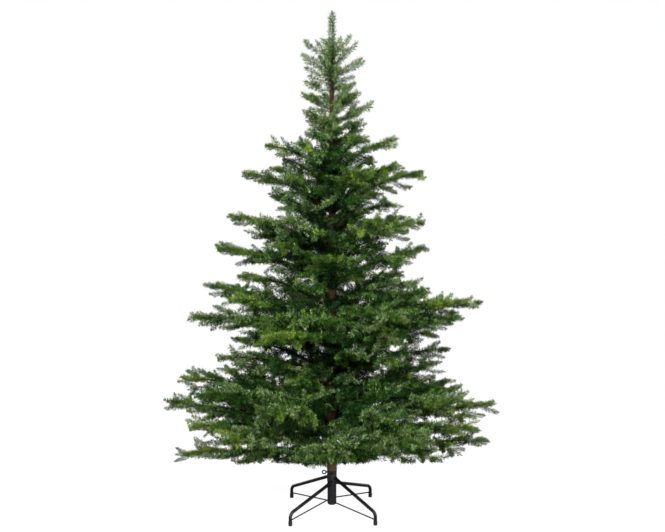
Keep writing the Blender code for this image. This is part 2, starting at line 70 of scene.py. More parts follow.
# ---------------------------------------------------------------- shader graph
class Socket:
    """A node's output that takes part in Python expressions."""

    def __init__(self, graph: "Graph", output: NodeSocket) -> None:
        """Wraps an output of a graph's node."""
        self.graph = graph
        self.output = output

    def _math(self, operation: str, first: "Socket | float", second: "Socket | float") -> "Socket":
        """Adds one Math node.

        Args:
            operation: the node's operation.
            first: its first value.
            second: its second value.

        Returns:
            The node's value.
        """
        return self.graph.node("ShaderNodeMath", {"operation": operation}, {0: first, 1: second})

    def __add__(self, other: "Socket | float") -> "Socket":
        """The sum."""
        return self._math("ADD", self, other)

    def __radd__(self, other: float) -> "Socket":
        """The sum with a plain number on the left."""
        return self._math("ADD", other, self)

    def __sub__(self, other: "Socket | float") -> "Socket":
        """The difference."""
        return self._math("SUBTRACT", self, other)

    def __rsub__(self, other: float) -> "Socket":
        """The difference from a plain number."""
        return self._math("SUBTRACT", other, self)

    def __mul__(self, other: "Socket | float") -> "Socket":
        """The product."""
        return self._math("MULTIPLY", self, other)

    def __rmul__(self, other: float) -> "Socket":
        """The product with a plain number on the left."""
        return self._math("MULTIPLY", other, self)


class Graph:
    """The node tree of a material or of the world, with one method that adds any node."""

    def __init__(self, owner: ID, shader: str = "Principled BSDF") -> None:
        """Takes the owner's tree and the shader in it.

        Args:
            owner: the material or the world.
            shader: the shader node's name.
        """
        owner.use_nodes = True
        self.owner = owner
        self.tree = owner.node_tree
        self.shader = self.tree.nodes[shader]

    def node(self, kind: str, settings: dict, values: dict, output: str | int = 0) -> Socket:
        """Adds a node.

        Args:
            kind: the node's type.
            settings: its properties, such as a Math node's operation, set first.
            values: its inputs by name or index, each a number, a colour or a Socket.
            output: the output to return.

        Returns:
            That output.
        """
        made = self.tree.nodes.new(kind)
        for key, value in settings.items():
            setattr(made, key, value)
        for key, value in values.items():
            if isinstance(value, Socket):
                self.tree.links.new(value.output, made.inputs[key])
            else:
                made.inputs[key].default_value = value
        return Socket(self, made.outputs[output])

    def mix(self, factor: Socket, first: Colour | Socket, second: Colour | Socket) -> Socket:
        """Mixes two colours.

        Args:
            factor: how much of the second, 0 to 1.
            first: the colour at 0.
            second: the colour at 1.

        Returns:
            The mixed colour.
        """
        first, second = (c if isinstance(c, Socket) else (*c, 1.0) for c in (first, second))
        return self.node("ShaderNodeMix", {"data_type": "RGBA"}, {0: factor, 6: first, 7: second}, 2)

    def noise(self, scale: float, detail: float = 3.0, roughness: float = 0.55) -> Socket:
        """Noise in the object's own metres.

        Args:
            scale: cells to the metre.
            detail: octaves.
            roughness: how strong the finer octaves are.

        Returns:
            Its value, about 0.5 on average.
        """
        place = self.node("ShaderNodeTexCoord", {}, {}, "Object")
        values = {"Vector": place, "Scale": scale, "Detail": detail, "Roughness": roughness}
        return self.node("ShaderNodeTexNoise", {}, values)

    def ramp(self, value: Socket, low: float, high: float, least: float = 0.0) -> Socket:
        """A value spread from least at low to 1 at high, and held outside.

        Args:
            value: the value.
            low: where the result is least.
            high: where the result is 1.
            least: the lowest result.

        Returns:
            The spread value.
        """
        values = {0: value, 1: low, 2: high, 3: least, 4: 1.0}
        return self.node("ShaderNodeMapRange", {"clamp": True}, values)

    def set(self, **values: float | Colour | Socket) -> None:
        """Sets inputs of the shader.

        Args:
            values: the inputs, with _ for a space in their names.
        """
        for key, value in values.items():
            socket = self.shader.inputs[key.replace("_", " ")]
            if isinstance(value, Socket):
                self.tree.links.new(value.output, socket)
            elif isinstance(value, tuple):
                socket.default_value = (*value, 1.0)
            else:
                socket.default_value = value

    def bump(self, height: Socket, strength: float, distance: float) -> None:
        """Gives the surface a bump.

        Args:
            height: the height, 0 to 1.
            strength: the Bump node's strength.
            distance: what a height of 1 stands for, in metres.
        """
        values = {"Height": height, "Strength": strength, "Distance": distance}
        self.set(Normal=self.node("ShaderNodeBump", {}, values))


# ---------------------------------------------------------------- finishes
@dataclass(frozen=True)
class Finish:
    """A finish, by the name of its material."""

    name: str

    def build(self) -> Material:
        """Makes the material.

        Returns:
            The material.
        """
        graph = Graph(bpy.data.materials.new(self.name))
        self.dress(graph)
        return graph.owner

    def dress(self, graph: Graph) -> None:
        """Adds the finish's nodes and values to a material's graph."""
        raise NotImplementedError


@dataclass(frozen=True)
class Enamel(Finish):
    """Black satin enamel with a faint orange peel, thinner and greyer where hands and floor rub it."""

    name: str = "satin_enamel"
    dark: Colour = (0.0065, 0.0065, 0.0080)
    worn: Colour = (0.022, 0.021, 0.025)

    def dress(self, graph: Graph) -> None:
        """Adds its nodes.

        Args:
            graph: the material's graph.
        """
        patches = graph.ramp(graph.noise(22.0, 4.0), 0.42, 0.72)
        specks = graph.ramp(graph.noise(620.0, 2.0), 0.62, 0.74)
        graph.set(Base_Color=graph.mix(patches * 0.7 + specks * 0.3, self.dark, self.worn))
        graph.set(Roughness=0.36 + patches * 0.16 + specks * 0.08, Specular_IOR_Level=0.32)
        graph.bump(graph.noise(950.0, 2.0), 0.25, 0.0003)


@dataclass(frozen=True)
class Rubber(Finish):
    """Matt black moulded rubber and plastic, dusty in its pores."""

    name: str = "moulded_rubber"
    base: Colour = (0.009, 0.009, 0.010)
    dust: Colour = (0.034, 0.033, 0.031)

    def dress(self, graph: Graph) -> None:
        """Adds its nodes.

        Args:
            graph: the material's graph.
        """
        dusty = graph.ramp(graph.noise(90.0, 5.0, 0.65), 0.50, 0.78)
        graph.set(Base_Color=graph.mix(dusty, self.base, self.dust), Roughness=0.62 + dusty * 0.25)
        graph.bump(graph.noise(1400.0, 2.0), 0.3, 0.0002)


@dataclass(frozen=True)
class BlackenedSteel(Finish):
    """Oiled black steel wire, brighter where it has been turned by hand."""

    name: str = "blackened_steel"
    base: Colour = (0.007, 0.0065, 0.0065)
    rubbed: Colour = (0.040, 0.036, 0.034)

    def dress(self, graph: Graph) -> None:
        """Adds its nodes.

        Args:
            graph: the material's graph.
        """
        rubbed = graph.ramp(graph.noise(260.0, 4.0, 0.6), 0.50, 0.80)
        graph.set(Base_Color=graph.mix(rubbed, self.base, self.rubbed), Metallic=0.35)
        graph.set(Roughness=0.46 - rubbed * 0.12, Specular_IOR_Level=0.25)
        graph.bump(graph.noise(1800.0, 2.0), 0.15, 0.0002)


FOOT_PAINTED_LIGHT_FADE = (0.235, 0.275)  # the heights over which the painted light on the wrap's foot fades out upwards


@dataclass(frozen=True)
class BarkWrap(Finish):
    """Brown film wound round the pole: rust-brown ridges and olive flecks, with painted shade in the folds
    that the bump sinks, and painted light at the foot where one is given.
    """

    name: str = "bark_wrap_film"
    fold_painted_shade: Colour = (0.0085, 0.0056, 0.0026)
    ridge: Colour = (0.062, 0.034, 0.011)
    fleck: Colour = (0.064, 0.066, 0.018)
    # The lighter colour given for the wrap's foot is painted light where the foliage shades it.
    foot: Colour | None = None

    def dress(self, graph: Graph) -> None:
        """Adds its nodes.

        Args:
            graph: the material's graph.
        """
        strands = graph.noise(240.0, 4.0, 0.65)
        patches = graph.ramp(graph.noise(38.0, 3.0), 0.38, 0.66)
        # Painted shade: where the strand noise is low, which the bump sinks into folds, the brown goes to the
        # dark fold colour; the patches are the film's own tone.
        brown = graph.mix(graph.ramp(strands * 0.65 + patches * 0.35, 0.34, 0.66), self.fold_painted_shade, self.ridge)
        flecks = graph.ramp(graph.noise(130.0, 3.0), 0.62, 0.72)
        colour = graph.mix(flecks * 0.6, brown, self.fleck)
        # Painted light: low on the pole the film is mixed towards the lighter foot colour, fading out
        # upwards.
        if self.foot:
            place = graph.node("ShaderNodeTexCoord", {}, {}, "Object")
            height = graph.node("ShaderNodeSeparateXYZ", {}, {0: place}, "Z")
            near = 1.0 - graph.ramp(height + graph.noise(60.0) * 0.03, FOOT_PAINTED_LIGHT_FADE[0], FOOT_PAINTED_LIGHT_FADE[1])
            colour = graph.mix(near * graph.ramp(strands, 0.26, 0.52), colour, self.foot)
        graph.set(Base_Color=colour, Roughness=0.50 + strands * 0.3, Specular_IOR_Level=0.2)
        graph.bump(strands, 0.7, 0.0012)


@dataclass(frozen=True)
class PlainFilm(Finish):
    """Cut plastic film of one colour, for small things joined in great numbers."""

    base: Colour
    roughness: float = 0.45
    specular: float = 0.08

    def dress(self, graph: Graph) -> None:
        """Sets its values."""
        graph.set(Base_Color=self.base, Roughness=self.roughness, Specular_IOR_Level=self.specular)


class Tint(Enum):
    """The colours that the needles are cut from. Each spray gets its own few of them."""

    SHADE = PlainFilm("needle_shade", (0.0030, 0.0160, 0.0020))
    DEEP = PlainFilm("needle_deep", (0.0070, 0.0340, 0.0040))
    FOREST = PlainFilm("needle_forest", (0.0240, 0.0780, 0.0090))
    LEAF = PlainFilm("needle_leaf", (0.0620, 0.1450, 0.0150))
    MOSS = PlainFilm("needle_moss", (0.1350, 0.2150, 0.0200))
    SPRING = PlainFilm("needle_spring", (0.2500, 0.3500, 0.0450))
    SPRUCE = PlainFilm("needle_spruce", (0.0580, 0.1180, 0.0320))
    MIST = PlainFilm("needle_mist", (0.2350, 0.3350, 0.1250))
    KHAKI = PlainFilm("needle_khaki", (0.1150, 0.1060, 0.0360))


Tints = tuple[Tint, Tint, Tint, Tint]  # a spray's main colour, a lighter, a darker and an odd one
TINT_SLOT = {tint: index for index, tint in enumerate(Tint)}


# ---------------------------------------------------------------- mesh helpers
def polar(radius: float, azimuth: float, height: float) -> Vector:
    """A point by its distance from the axis, its azimuth in degrees and its height."""
    turn = math.radians(azimuth)
    return Vector((radius * math.cos(turn), radius * math.sin(turn), height))


def heading(azimuth: float, lift: float) -> Vector:
    """The unit direction at an azimuth in degrees and a lift in radians."""
    return polar(math.cos(lift), azimuth, math.sin(lift))


def spread(draw: random.Random, half: float) -> float:
    """A number drawn evenly from as far below 0 as above it."""
    return draw.uniform(-half, half)


def unit(rows: Array) -> Array:
    """Rows scaled to length 1."""
    return rows / np.maximum(np.linalg.norm(rows, axis=-1, keepdims=True), 1e-9)


def across(way: Array) -> tuple[Array, Array]:
    """Two directions square to each row and to each other.

    Args:
        way: the rows.

    Returns:
        The two, the first one level.
    """
    level = np.stack([way[:, 1], -way[:, 0], np.zeros(len(way))], axis=1)
    level[np.linalg.norm(level, axis=1) < 0.05] = (1.0, 0.0, 0.0)
    flat = unit(level - way * np.sum(level * way, axis=1, keepdims=True))
    return flat, np.cross(flat, way)


def linked(name: str, data: ID) -> Object:
    """A new object in the scene, made of data.

    Args:
        name: its name.
        data: its mesh, light or camera.

    Returns:
        The object.
    """
    made = bpy.data.objects.new(name, data)
    bpy.context.scene.collection.objects.link(made)
    return made


def add_piece(name: str, mesh: Mesh, materials: list[Material], slot: str,
              *nodes: str) -> Object:
    """Puts a mesh into the scene on the model's body, where it stands for nodes.

    Args:
        name: the piece's name.
        mesh: its mesh.
        materials: its material slots.
        slot: not used.
        nodes: the nodes.

    Returns:
        The piece.
    """
    mesh.name = name
    for material in materials:
        mesh.materials.append(material)
    piece = linked(name, mesh)
    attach(piece, "root")
    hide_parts(*nodes)
    LOG.info("%s: %d faces, for %s", name, len(mesh.polygons), ", ".join(nodes))
    return piece


def array_mesh(points: Array, faces: Array, slots: Array | None = None) -> Mesh:
    """A mesh from arrays.

    Args:
        points: one row of three numbers to a point.
        faces: one row to a face, all of as many corners.
        slots: the material slot of each face.

    Returns:
        The mesh.
    """
    mesh = bpy.data.meshes.new("piece")
    count, corners = faces.shape
    mesh.vertices.add(len(points))
    mesh.vertices.foreach_set("co", points.astype(np.float32).ravel())
    mesh.loops.add(count * corners)
    mesh.loops.foreach_set("vertex_index", faces.astype(np.int32).ravel())
    mesh.polygons.add(count)
    mesh.polygons.foreach_set("loop_start", np.arange(0, count * corners, corners, dtype=np.int32))
    if slots is not None:
        mesh.polygons.foreach_set("material_index", slots.astype(np.int32))
    mesh.update(calc_edges=True)
    return mesh


def walls(low: Array, high: Array) -> list[tuple]:
    """The four-cornered faces between rings of point numbers and the rings after them."""
    quads = np.stack([low, np.roll(low, -1, axis=1), np.roll(high, -1, axis=1), high], axis=-1)
    return [tuple(quad) for quad in quads.reshape(-1, 4)]


def grid_mesh(rings: Array, closed: bool = False) -> Mesh:
    """A tube through rings of points, its ends fanned to their centres where it isn't closed.

    Args:
        rings: an array of rings, sides and three numbers.
        closed: whether the last ring joins the first.

    Returns:
        The mesh, smooth with sharp edges kept.
    """
    count, sides = rings.shape[:2]
    index = np.arange(count * sides).reshape(count, sides)
    low = index if closed else index[:-1]
    high = np.roll(index, -1, axis=0) if closed else index[1:]
    points = [tuple(p) for p in rings.reshape(-1, 3)]
    faces = walls(low, high)
    if not closed:
        for ring, order in ((0, -1), (count - 1, 1)):
            centre = len(points)
            points.append(tuple(rings[ring].mean(axis=0)))
            edge = index[ring][::order]
            faces += [(edge[k], edge[(k + 1) % sides], centre) for k in range(sides)]
    mesh = bpy.data.meshes.new("piece")
    mesh.from_pydata(points, [], faces)
    mesh.shade_smooth()
    mesh.set_sharp_from_angle(angle=math.radians(50))
    return mesh


def lathe(profile: list[Span], sides: int) -> Array:
    """Rings turned about Z.

    Args:
        profile: (radius, height) points.
        sides: points to a ring.

    Returns:
        The rings.
    """
    angles = np.arange(sides) * math.tau / sides
    rows = [np.stack([r * np.cos(angles), r * np.sin(angles), np.full(sides, z)], axis=1) for r, z in profile]
    return np.stack(rows)


def sweep(path: list[Vector], side: Vector, radii: list[float], sides: int) -> Array:
    """Rings of a round bar along a path that lies square to side.

    Args:
        path: its centre line.
        side: a direction square to the whole path.
        radii: the radius at each point.
        sides: points to a ring.

    Returns:
        The rings.
    """
    rings = []
    for k, point in enumerate(path):
        along = (path[min(k + 1, len(path) - 1)] - path[max(k - 1, 0)]).normalized()
        beside = along.cross(side).normalized()
        angles = (math.tau * j / sides for j in range(sides))
        rings.append([point + radii[k] * (math.cos(a) * side + math.sin(a) * beside) for a in angles])
    return np.array(rings)


def hoop(centre: Vector, axes: tuple[Vector, Vector, Vector], radius: float, thick: list[float],
         sides: int) -> Mesh:
    """A round bar bent into a closed circle.

    Args:
        centre: the circle's centre.
        axes: two directions in its plane and the one square to it.
        radius: the circle's radius.
        thick: the bar's radius at each station round the circle.
        sides: points to a ring.

    Returns:
        The mesh.
    """
    first, second, axis = axes
    turns = [math.tau * j / sides for j in range(sides)]
    rings = []
    for k, bar in enumerate(thick):
        angle = math.tau * k / len(thick)
        spoke = math.cos(angle) * first + math.sin(angle) * second
        middle = centre + spoke * radius
        rings.append([middle + bar * (math.cos(t) * spoke + math.sin(t) * axis) for t in turns])
    return grid_mesh(np.array(rings), closed=True)


# ---------------------------------------------------------------- growth rule, as in the solids
@dataclass(frozen=True)
class Ring:
    """One ring of boughs round the trunk, with the reach and tip height of its right and left sides."""

    root: float
    right: Span
    left: Span
    azimuths: tuple[float, ...]
    front_lift: float = 0.0


RINGS = [
    Ring(0.268, (0.668, 0.290), (0.672, 0.272), (-8, 98, 188, 268), 0.115),
    Ring(0.372, (0.706, 0.462), (0.706, 0.470), (4, 60, 124, 178, 236, 298)),
    Ring(0.490, (0.630, 0.560), (0.670, 0.592), (-34, 40, 168, 250)),
    Ring(0.600, (0.500, 0.690), (0.486, 0.690), (6, 112, 196)),
    Ring(0.715, (0.600, 0.830), (0.596, 0.855), (20, 104, 184, 250)),
    Ring(0.790, (0.620, 0.906), (0.556, 0.940), (-6, 70, 166, 294)),
    Ring(0.970, (0.402, 1.115), (0.478, 1.135), (8, 98, 188, 268)),
    Ring(1.105, (0.382, 1.250), (0.436, 1.268), (-12, 74, 172, 244)),
    Ring(1.280, (0.384, 1.452), (0.364, 1.452), (6, 102, 182, 286)),
    Ring(1.430, (0.268, 1.582), (0.266, 1.576), (-8, 186)),
]
FRONT_SHORTENING = 0.14  # how much less the lowest boughs reach straight to the front
BOUGH_BOW = 0.06
BOUGH_START = 0.8  # where in the trunk a bough starts, as a share of the trunk's radius
WIDEST = 0.7  # the longest reach of a bough
LIMB_ROOT, LIMB_MORE, LIMB_TIP, LIMB_POWER = 0.0055, 0.0015, 0.0012, 0.8  # a limb's radius and how it tapers
BEND, BENT_FROM = 0.70, 0.55  # how far the boughs that start above a height are bent level towards their tips
LOWEST_FOLIAGE, FRONT_SLOPE = 0.215, 0.31  # how low twigs hang at the sides, and how that rises to the front
FRONT_DIP, FRONT_DIP_AT, FRONT_DIP_HALF = 0.024, -0.065, 0.060  # a dip in it: its depth, place and half width
TIP_PROUD = 0.006  # how far past the solids' box a twig may end
TRUNK_PROFILE = [  # heights and radii
    (0.180, 0.0212), (0.60, 0.0204), (1.22, 0.0190), (1.25, 0.0140), (1.56, 0.0108), (1.96, 0.0060),
]
FOLIAGE_PROFILE = [  # heights and radii
    (0.20, 0.58), (0.29, 0.67), (0.46, 0.70), (0.60, 0.66), (0.72, 0.52), (0.85, 0.59),
    (0.93, 0.58), (1.02, 0.44), (1.12, 0.46), (1.26, 0.42), (1.36, 0.34), (1.45, 0.37),
    (1.58, 0.27), (1.66, 0.15), (1.90, 0.13), (2.10, 0.03),
]
STANDPOINT = (0.00254, -4.176, 1.489)  # the camera's place
# The heights between which the pole shows from there, and half of how wide the foliage is parted.
PARTINGS = [(0.38, 0.57), (0.86, 0.98), (1.10, 1.21), (1.29, 1.33), (1.70, 1.83)]
PARTING_HALF = 0.025


def trunk_radius(height: float) -> float:
    """The wrapped trunk's radius at a height."""
    return float(np.interp(height, *zip(*TRUNK_PROFILE)))


@dataclass(frozen=True)
class Bough:
    """The line of one bough from the trunk to its tip, bowed up a little."""

    azimuth: float
    root: float
    reach: float
    tip: float
    bend: float = 0.0

    @classmethod
    def of(cls, ring: Ring, azimuth: float, share: float = 1.0, lift: float = 0.0) -> "Bough":
        """A ring's bough at an azimuth, its size between the ring's right and left ones.

        Args:
            ring: the ring.
            azimuth: where it points, in degrees.
            share: its reach as a share of the ring's.
            lift: how much higher its tip lies.

        Returns:
            The bough.
        """
        side = (1 + math.cos(math.radians(azimuth))) / 2
        front = max(0.0, -math.sin(math.radians(azimuth)))
        reach = ring.left[0] + (ring.right[0] - ring.left[0]) * side
        tip = ring.left[1] + (ring.right[1] - ring.left[1]) * side + ring.front_lift * front
        if ring.front_lift:
            reach *= 1 - FRONT_SHORTENING * front
        return cls(azimuth, ring.root, reach * share, tip + lift, BEND if ring.root > BENT_FROM else 0.0)

    def point(self, share: float) -> Vector:
        """The point at a share of its length.

        Args:
            share: 0 at the trunk, 1 at the tip.

        Returns:
            The point.
        """
        start = trunk_radius(self.root) * BOUGH_START
        bow = share * (1 - share)
        height = self.root + (self.tip - self.root) * (share + self.bend * bow) + BOUGH_BOW * self.reach * bow
        return polar(start + (self.reach - start) * share, self.azimuth, height)

    def girth(self, share: float) -> float:
        """Its limb's radius at a share of its length."""
        return (LIMB_ROOT + LIMB_MORE * self.reach / WIDEST) * max(0.0, 1 - share) ** LIMB_POWER + LIMB_TIP

    @property
    def length(self) -> float:
        """Its length, taken straight."""
        return (self.point(1.0) - self.point(0.0)).length


def parted(place: Vector) -> bool:
    """Whether a place is where the front foliage is parted, so that the wrapped pole shows.

    Args:
        place: the place.

    Returns:
        Whether it is.
    """
    _, front, eye = STANDPOINT
    nearness = -front / (place.y - front)
    height = eye - (eye - place.z) * nearness
    if place.y > -0.01 or abs(place.x * nearness) > PARTING_HALF:
        return False
    return any(low < height < high for low, high in PARTINGS)


def outwardness(place: Vector) -> float:
    """How far out in the foliage a place is: 0 at the trunk, 1 at the tips of its height."""
    return min(1.0, math.hypot(place.x, place.y) / float(np.interp(place.z, *zip(*FOLIAGE_PROFILE))))


def lowest_foliage(place: Vector) -> float:
    """How low foliage may hang at a place: higher towards the front, where the stand shows, but for a dip."""
    dip = FRONT_DIP * max(0.0, 1 - ((place.x - FRONT_DIP_AT) / FRONT_DIP_HALF) ** 2)
    return LOWEST_FOLIAGE + FRONT_SLOPE * max(0.0, -place.y) - dip


def held(place: Vector) -> Vector:
    """Where a twig that is aimed at a place may end.

    Args:
        place: the place.

    Returns:
        The nearest point inside the solids' box and above the lowest foliage.
    """
    low, high = CAD_BOX
    x, y = (min(max(place[k], low[k] - TIP_PROUD), high[k] + TIP_PROUD) for k in range(2))
    kept = Vector((x, y, place.z))
    kept.z = max(kept.z, lowest_foliage(kept))
    return kept


# ---------------------------------------------------------------- twigs and needles
GIRTH, BARE, NEEDLE, CROWD, MAIN, LIGHTER, DARKER, ODD, FOLDED = range(9)  # the columns of a twig's traits
GOLDEN_TURN = math.pi * (3 - math.sqrt(5))
TURN_PLAY = 0.5
NEEDLE_WIDTH, COARSE_WIDTH = 0.0020, 0.0025  # of a folded needle and of a plain one
NEEDLE_BELLY, NEEDLE_FOLD = 0.58, 0.22  # how far along a needle is widest, and its fold's depth to its width
NEEDLE_SIZES = (0.62, 1.20)
NEEDLE_TWIST = 0.35
NEEDLE_LEAN, NEEDLE_LEAN_SPREAD = 60.0, 13.0
TUFT, TUFT_LOSS = 0.012, 0.16  # the end of a twig where the needles close up, and how much shorter they are
TUFTING, TUFT_STEP = 0.20, 0.017  # how much the needles' length swings along a twig, and how often
TAPER, TAPER_FROM = 0.28, 0.50  # how much shorter the needles are at a tip, and from where along the twig
BLUNT_FROM = 1.55  # the height above which twigs end bluntly
STEM_TAPER, STEM_SIDES, STEM_STATIONS = 0.75, 3, (0.0, 0.5)
LIGHTER_SHARES = (0.18, 0.20, 0.22)  # of lighter needles: everywhere, more on top as painted light, more towards the tip
DARKER_SHARES = (0.14, 0.24, 0.10)  # of darker ones: everywhere, more below as painted shade, more towards the root
TIP_LIGHT_FROM = 0.45
ODD_SHARE = 0.12


class Twigs:
    """Twigs gathered one by one, each a bent line with needles, and meshed all at once."""

    def __init__(self) -> None:
        """Starts with none."""
        self.lines: list[tuple] = []
        self.traits: list[tuple] = []

    def add(self, root: Vector, middle: Vector, tip: Vector, girth: float, bare: float, needle: float,
            crowd: float, tints: Tints, folded: float) -> None:
        """Adds a twig.

        Args:
            root: where it starts.
            middle: the point it bends through.
            tip: where it ends.
            girth: its radius at the root.
            bare: the share of it at the root that has no needles.
            needle: the length of its needles.
            crowd: needles to the metre.
            tints: its colours.
            folded: the share of its needles that are folded blades of two faces, the rest having one.
        """
        self.lines.append((tuple(root), tuple(middle), tuple(tip)))
        self.traits.append((girth, bare, needle, crowd, *(TINT_SLOT[tint] for tint in tints), folded))

    def join(self, other: "Twigs") -> None:
        """Takes in all the twigs of another gathering."""
        self.lines += other.lines
        self.traits += other.traits

    def curve(self, which: Array, t: Array) -> tuple[Array, Array]:
        """Points on the twigs.

        Args:
            which: the twig of each point.
            t: its share of the way along.

        Returns:
            The points, and the unit directions of the twigs there.
        """
        root, middle, tip = np.array(self.lines)[which].swapaxes(0, 1)
        t = t[:, None]
        points = root * (2 * t - 1) * (t - 1) + middle * 4 * t * (1 - t) + tip * t * (2 * t - 1)
        return points, unit(root * (4 * t - 3) + middle * (4 - 8 * t) + tip * (4 * t - 1))

    def counts(self) -> Array:
        """Each twig's number of needles."""
        traits = np.array(self.traits)
        return np.maximum(3, (self.lengths() * (1 - traits[:, BARE]) * traits[:, CROWD])).astype(int)

    def lengths(self) -> Array:
        """Each twig's length."""
        return np.linalg.norm(np.diff(np.array(self.lines), axis=1), axis=2).sum(axis=1)

    def face_count(self) -> int:
        """How many faces the needles will have."""
        return int((self.counts() * (1 + np.array(self.traits)[:, FOLDED])).sum())

    def needle_mesh(self, seed: int) -> Mesh:
        """Every needle as a blade of two folded faces or one, swept towards its twig's tip.

        Args:
            seed: of the small differences between needles.

        Returns:
            The mesh, its faces in the tints' slots.
        """
        draw = np.random.default_rng(seed)
        counts = self.counts()
        which = np.repeat(np.arange(len(counts)), counts)
        traits, many = np.array(self.traits)[which], len(which)
        order = np.arange(many) - np.repeat(np.cumsum(counts) - counts, counts)
        share = (order + draw.random(many)) / counts[which]
        bare = traits[:, BARE]
        t = bare + (1 - bare) * share
        point, way = self.curve(which, t)
        flat, up = across(way)
        turn = (order * GOLDEN_TURN + draw.normal(0, TURN_PLAY, many))[:, None]
        spoke = np.cos(turn) * flat + np.sin(turn) * up
        girth = traits[:, GIRTH] * (1 - STEM_TAPER * t)
        needled = self.lengths()[which] * (1 - bare)
        near = np.clip(1 - (1 - share) * needled / TUFT, 0, 1)
        lean = NEEDLE_LEAN + draw.normal(0, NEEDLE_LEAN_SPREAD, many)
        lean = np.radians(lean - near * draw.uniform(0, NEEDLE_LEAN, many))[:, None]
        aim = np.cos(lean) * way + np.sin(lean) * spoke
        taper = 1 - TAPER * np.clip((share - TAPER_FROM) / (1 - TAPER_FROM), 0, 1)
        taper = np.where(np.array(self.lines)[which, 0, 2] > BLUNT_FROM, 1.0, taper)
        tufted = 1 + TUFTING * np.sin(math.tau * share * needled / TUFT_STEP + which)
        size = traits[:, NEEDLE] * draw.uniform(*NEEDLE_SIZES, many) * (1 - TUFT_LOSS * near) * taper * tufted
        size = size[:, None]
        edge = unit(np.cross(aim, spoke + NEEDLE_TWIST * draw.normal(0, 1, (many, 3))))
        root = point + spoke * (girth * 0.8)[:, None]
        tip = root + aim * size
        belly = root + aim * size * NEEDLE_BELLY
        slot = self.needle_slots(draw, traits, share, spoke[:, 2])
        fine = draw.random(many) < traits[:, FOLDED]
        half = edge * NEEDLE_WIDTH / 2
        low = belly - unit(np.cross(edge, aim)) * NEEDLE_WIDTH * NEEDLE_FOLD
        kites = np.stack([root, low + half, tip, low - half], axis=1)[fine].reshape(-1, 3)
        blades = np.stack([root, belly + edge * COARSE_WIDTH, tip], axis=1)[~fine].reshape(-1, 3)
        kite_faces = (np.arange(fine.sum())[:, None] * 4 + np.array((0, 1, 2, 0, 2, 3))).reshape(-1, 3)
        blade_faces = np.arange(len(blades)).reshape(-1, 3) + len(kites)
        slots = np.concatenate([np.repeat(slot[fine], 2), slot[~fine]])
        return array_mesh(np.concatenate([kites, blades]), np.concatenate([kite_faces, blade_faces]), slots)

    def needle_slots(self, draw: np.random.Generator, traits: Array, share: Array,
                     upward: Array) -> Array:
        """Deals a spray's four colours to its needles: lighter at the tip, with painted light on the needles
        that point up and painted shade on those that point down.

        Args:
            draw: the source of chance.
            traits: the twig's traits, one row to a needle.
            share: how far along the twig each needle is.
            upward: how far up it points, -1 to 1.

        Returns:
            The slot of each needle.
        """
        every, above, ahead = LIGHTER_SHARES
        # Painted light and shade: needles that point up are more often lighter, those that point down more
        # often darker.
        lighter = every + above * np.clip(upward, 0, 1) + ahead * np.clip(share - TIP_LIGHT_FROM, 0, 1)
        every, below, behind = DARKER_SHARES
        darker = every + below * np.clip(-upward, 0, 1) + behind * (1 - share)
        chance = draw.random(len(share))
        slot = np.where(chance < lighter, traits[:, LIGHTER], traits[:, MAIN])
        slot = np.where(chance > 1 - darker, traits[:, DARKER], slot)
        return np.where(draw.random(len(share)) < ODD_SHARE, traits[:, ODD], slot)

    def stem_mesh(self) -> Mesh:
        """Every twig's own stem as a slim tapering tube with a pointed end.

        Returns:
            The mesh.
        """
        count, sides = len(self.traits), STEM_SIDES
        which = np.repeat(np.arange(count), len(STEM_STATIONS))
        t = np.tile(STEM_STATIONS, count)
        point, _ = self.curve(which, t)
        lines = np.array(self.lines)
        flat, up = across(unit(lines[:, 2] - lines[:, 0]))
        radius = (np.array(self.traits)[which, GIRTH] * (1 - STEM_TAPER * t))[:, None]
        corners = []
        for angle in (math.tau * k / sides for k in range(sides)):
            corners.append(point + radius * (math.cos(angle) * flat[which] + math.sin(angle) * up[which]))
        rings = np.stack(corners, axis=1).reshape(count, len(STEM_STATIONS) * sides, 3)
        tips, _ = self.curve(np.arange(count), np.ones(count))
        points = np.concatenate([rings, tips[:, None]], axis=1)
        pairs = [(k, (k + 1) % sides) for k in range(sides)]
        faces = []
        for k, n in pairs:
            faces += [(k, n, sides + n), (k, sides + n, sides + k)]
        faces += [(sides + k, sides + n, 2 * sides) for k, n in pairs]
        every = (np.arange(count) * points.shape[1])[:, None, None] + np.array(faces)
        return array_mesh(points.reshape(-1, 3), every.reshape(-1, 3))


# ---------------------------------------------------------------- foliage
MAIN_SHARE = 0.990  # of the solids' reach, as the needles at a tip reach on
HAND_LIFTS = {  # boughs bent up or down by hand
    "foliage_1_1": 0.030, "foliage_1_3": -0.014, "foliage_2_1": -0.008, "foliage_3_3": -0.040,
    "foliage_5_1": -0.022, "foliage_5_3": -0.010, "foliage_6_3": 0.012, "foliage_7_1": 0.007,
    "foliage_8_1": -0.013, "foliage_8_3": -0.010, "foliage_9_1": -0.014, "foliage_9_3": -0.012,
    "foliage_10_1": -0.006, "foliage_10_2": -0.024,
}
# How many short boughs stand halfway up to the next ring, and their reach as a share of the ring's.
FILLERS = [
    (0, 0.0), (0, 0.0), (2, 0.62), (3, 0.62), (3, 0.62),
    (5, 0.60), (6, 0.60), (6, 0.57), (6, 0.46), (6, 0.36),
]
LAST_STEP, LAST_RISE = 0.12, 0.045  # stand for the next ring's height and half its rise above the last ring
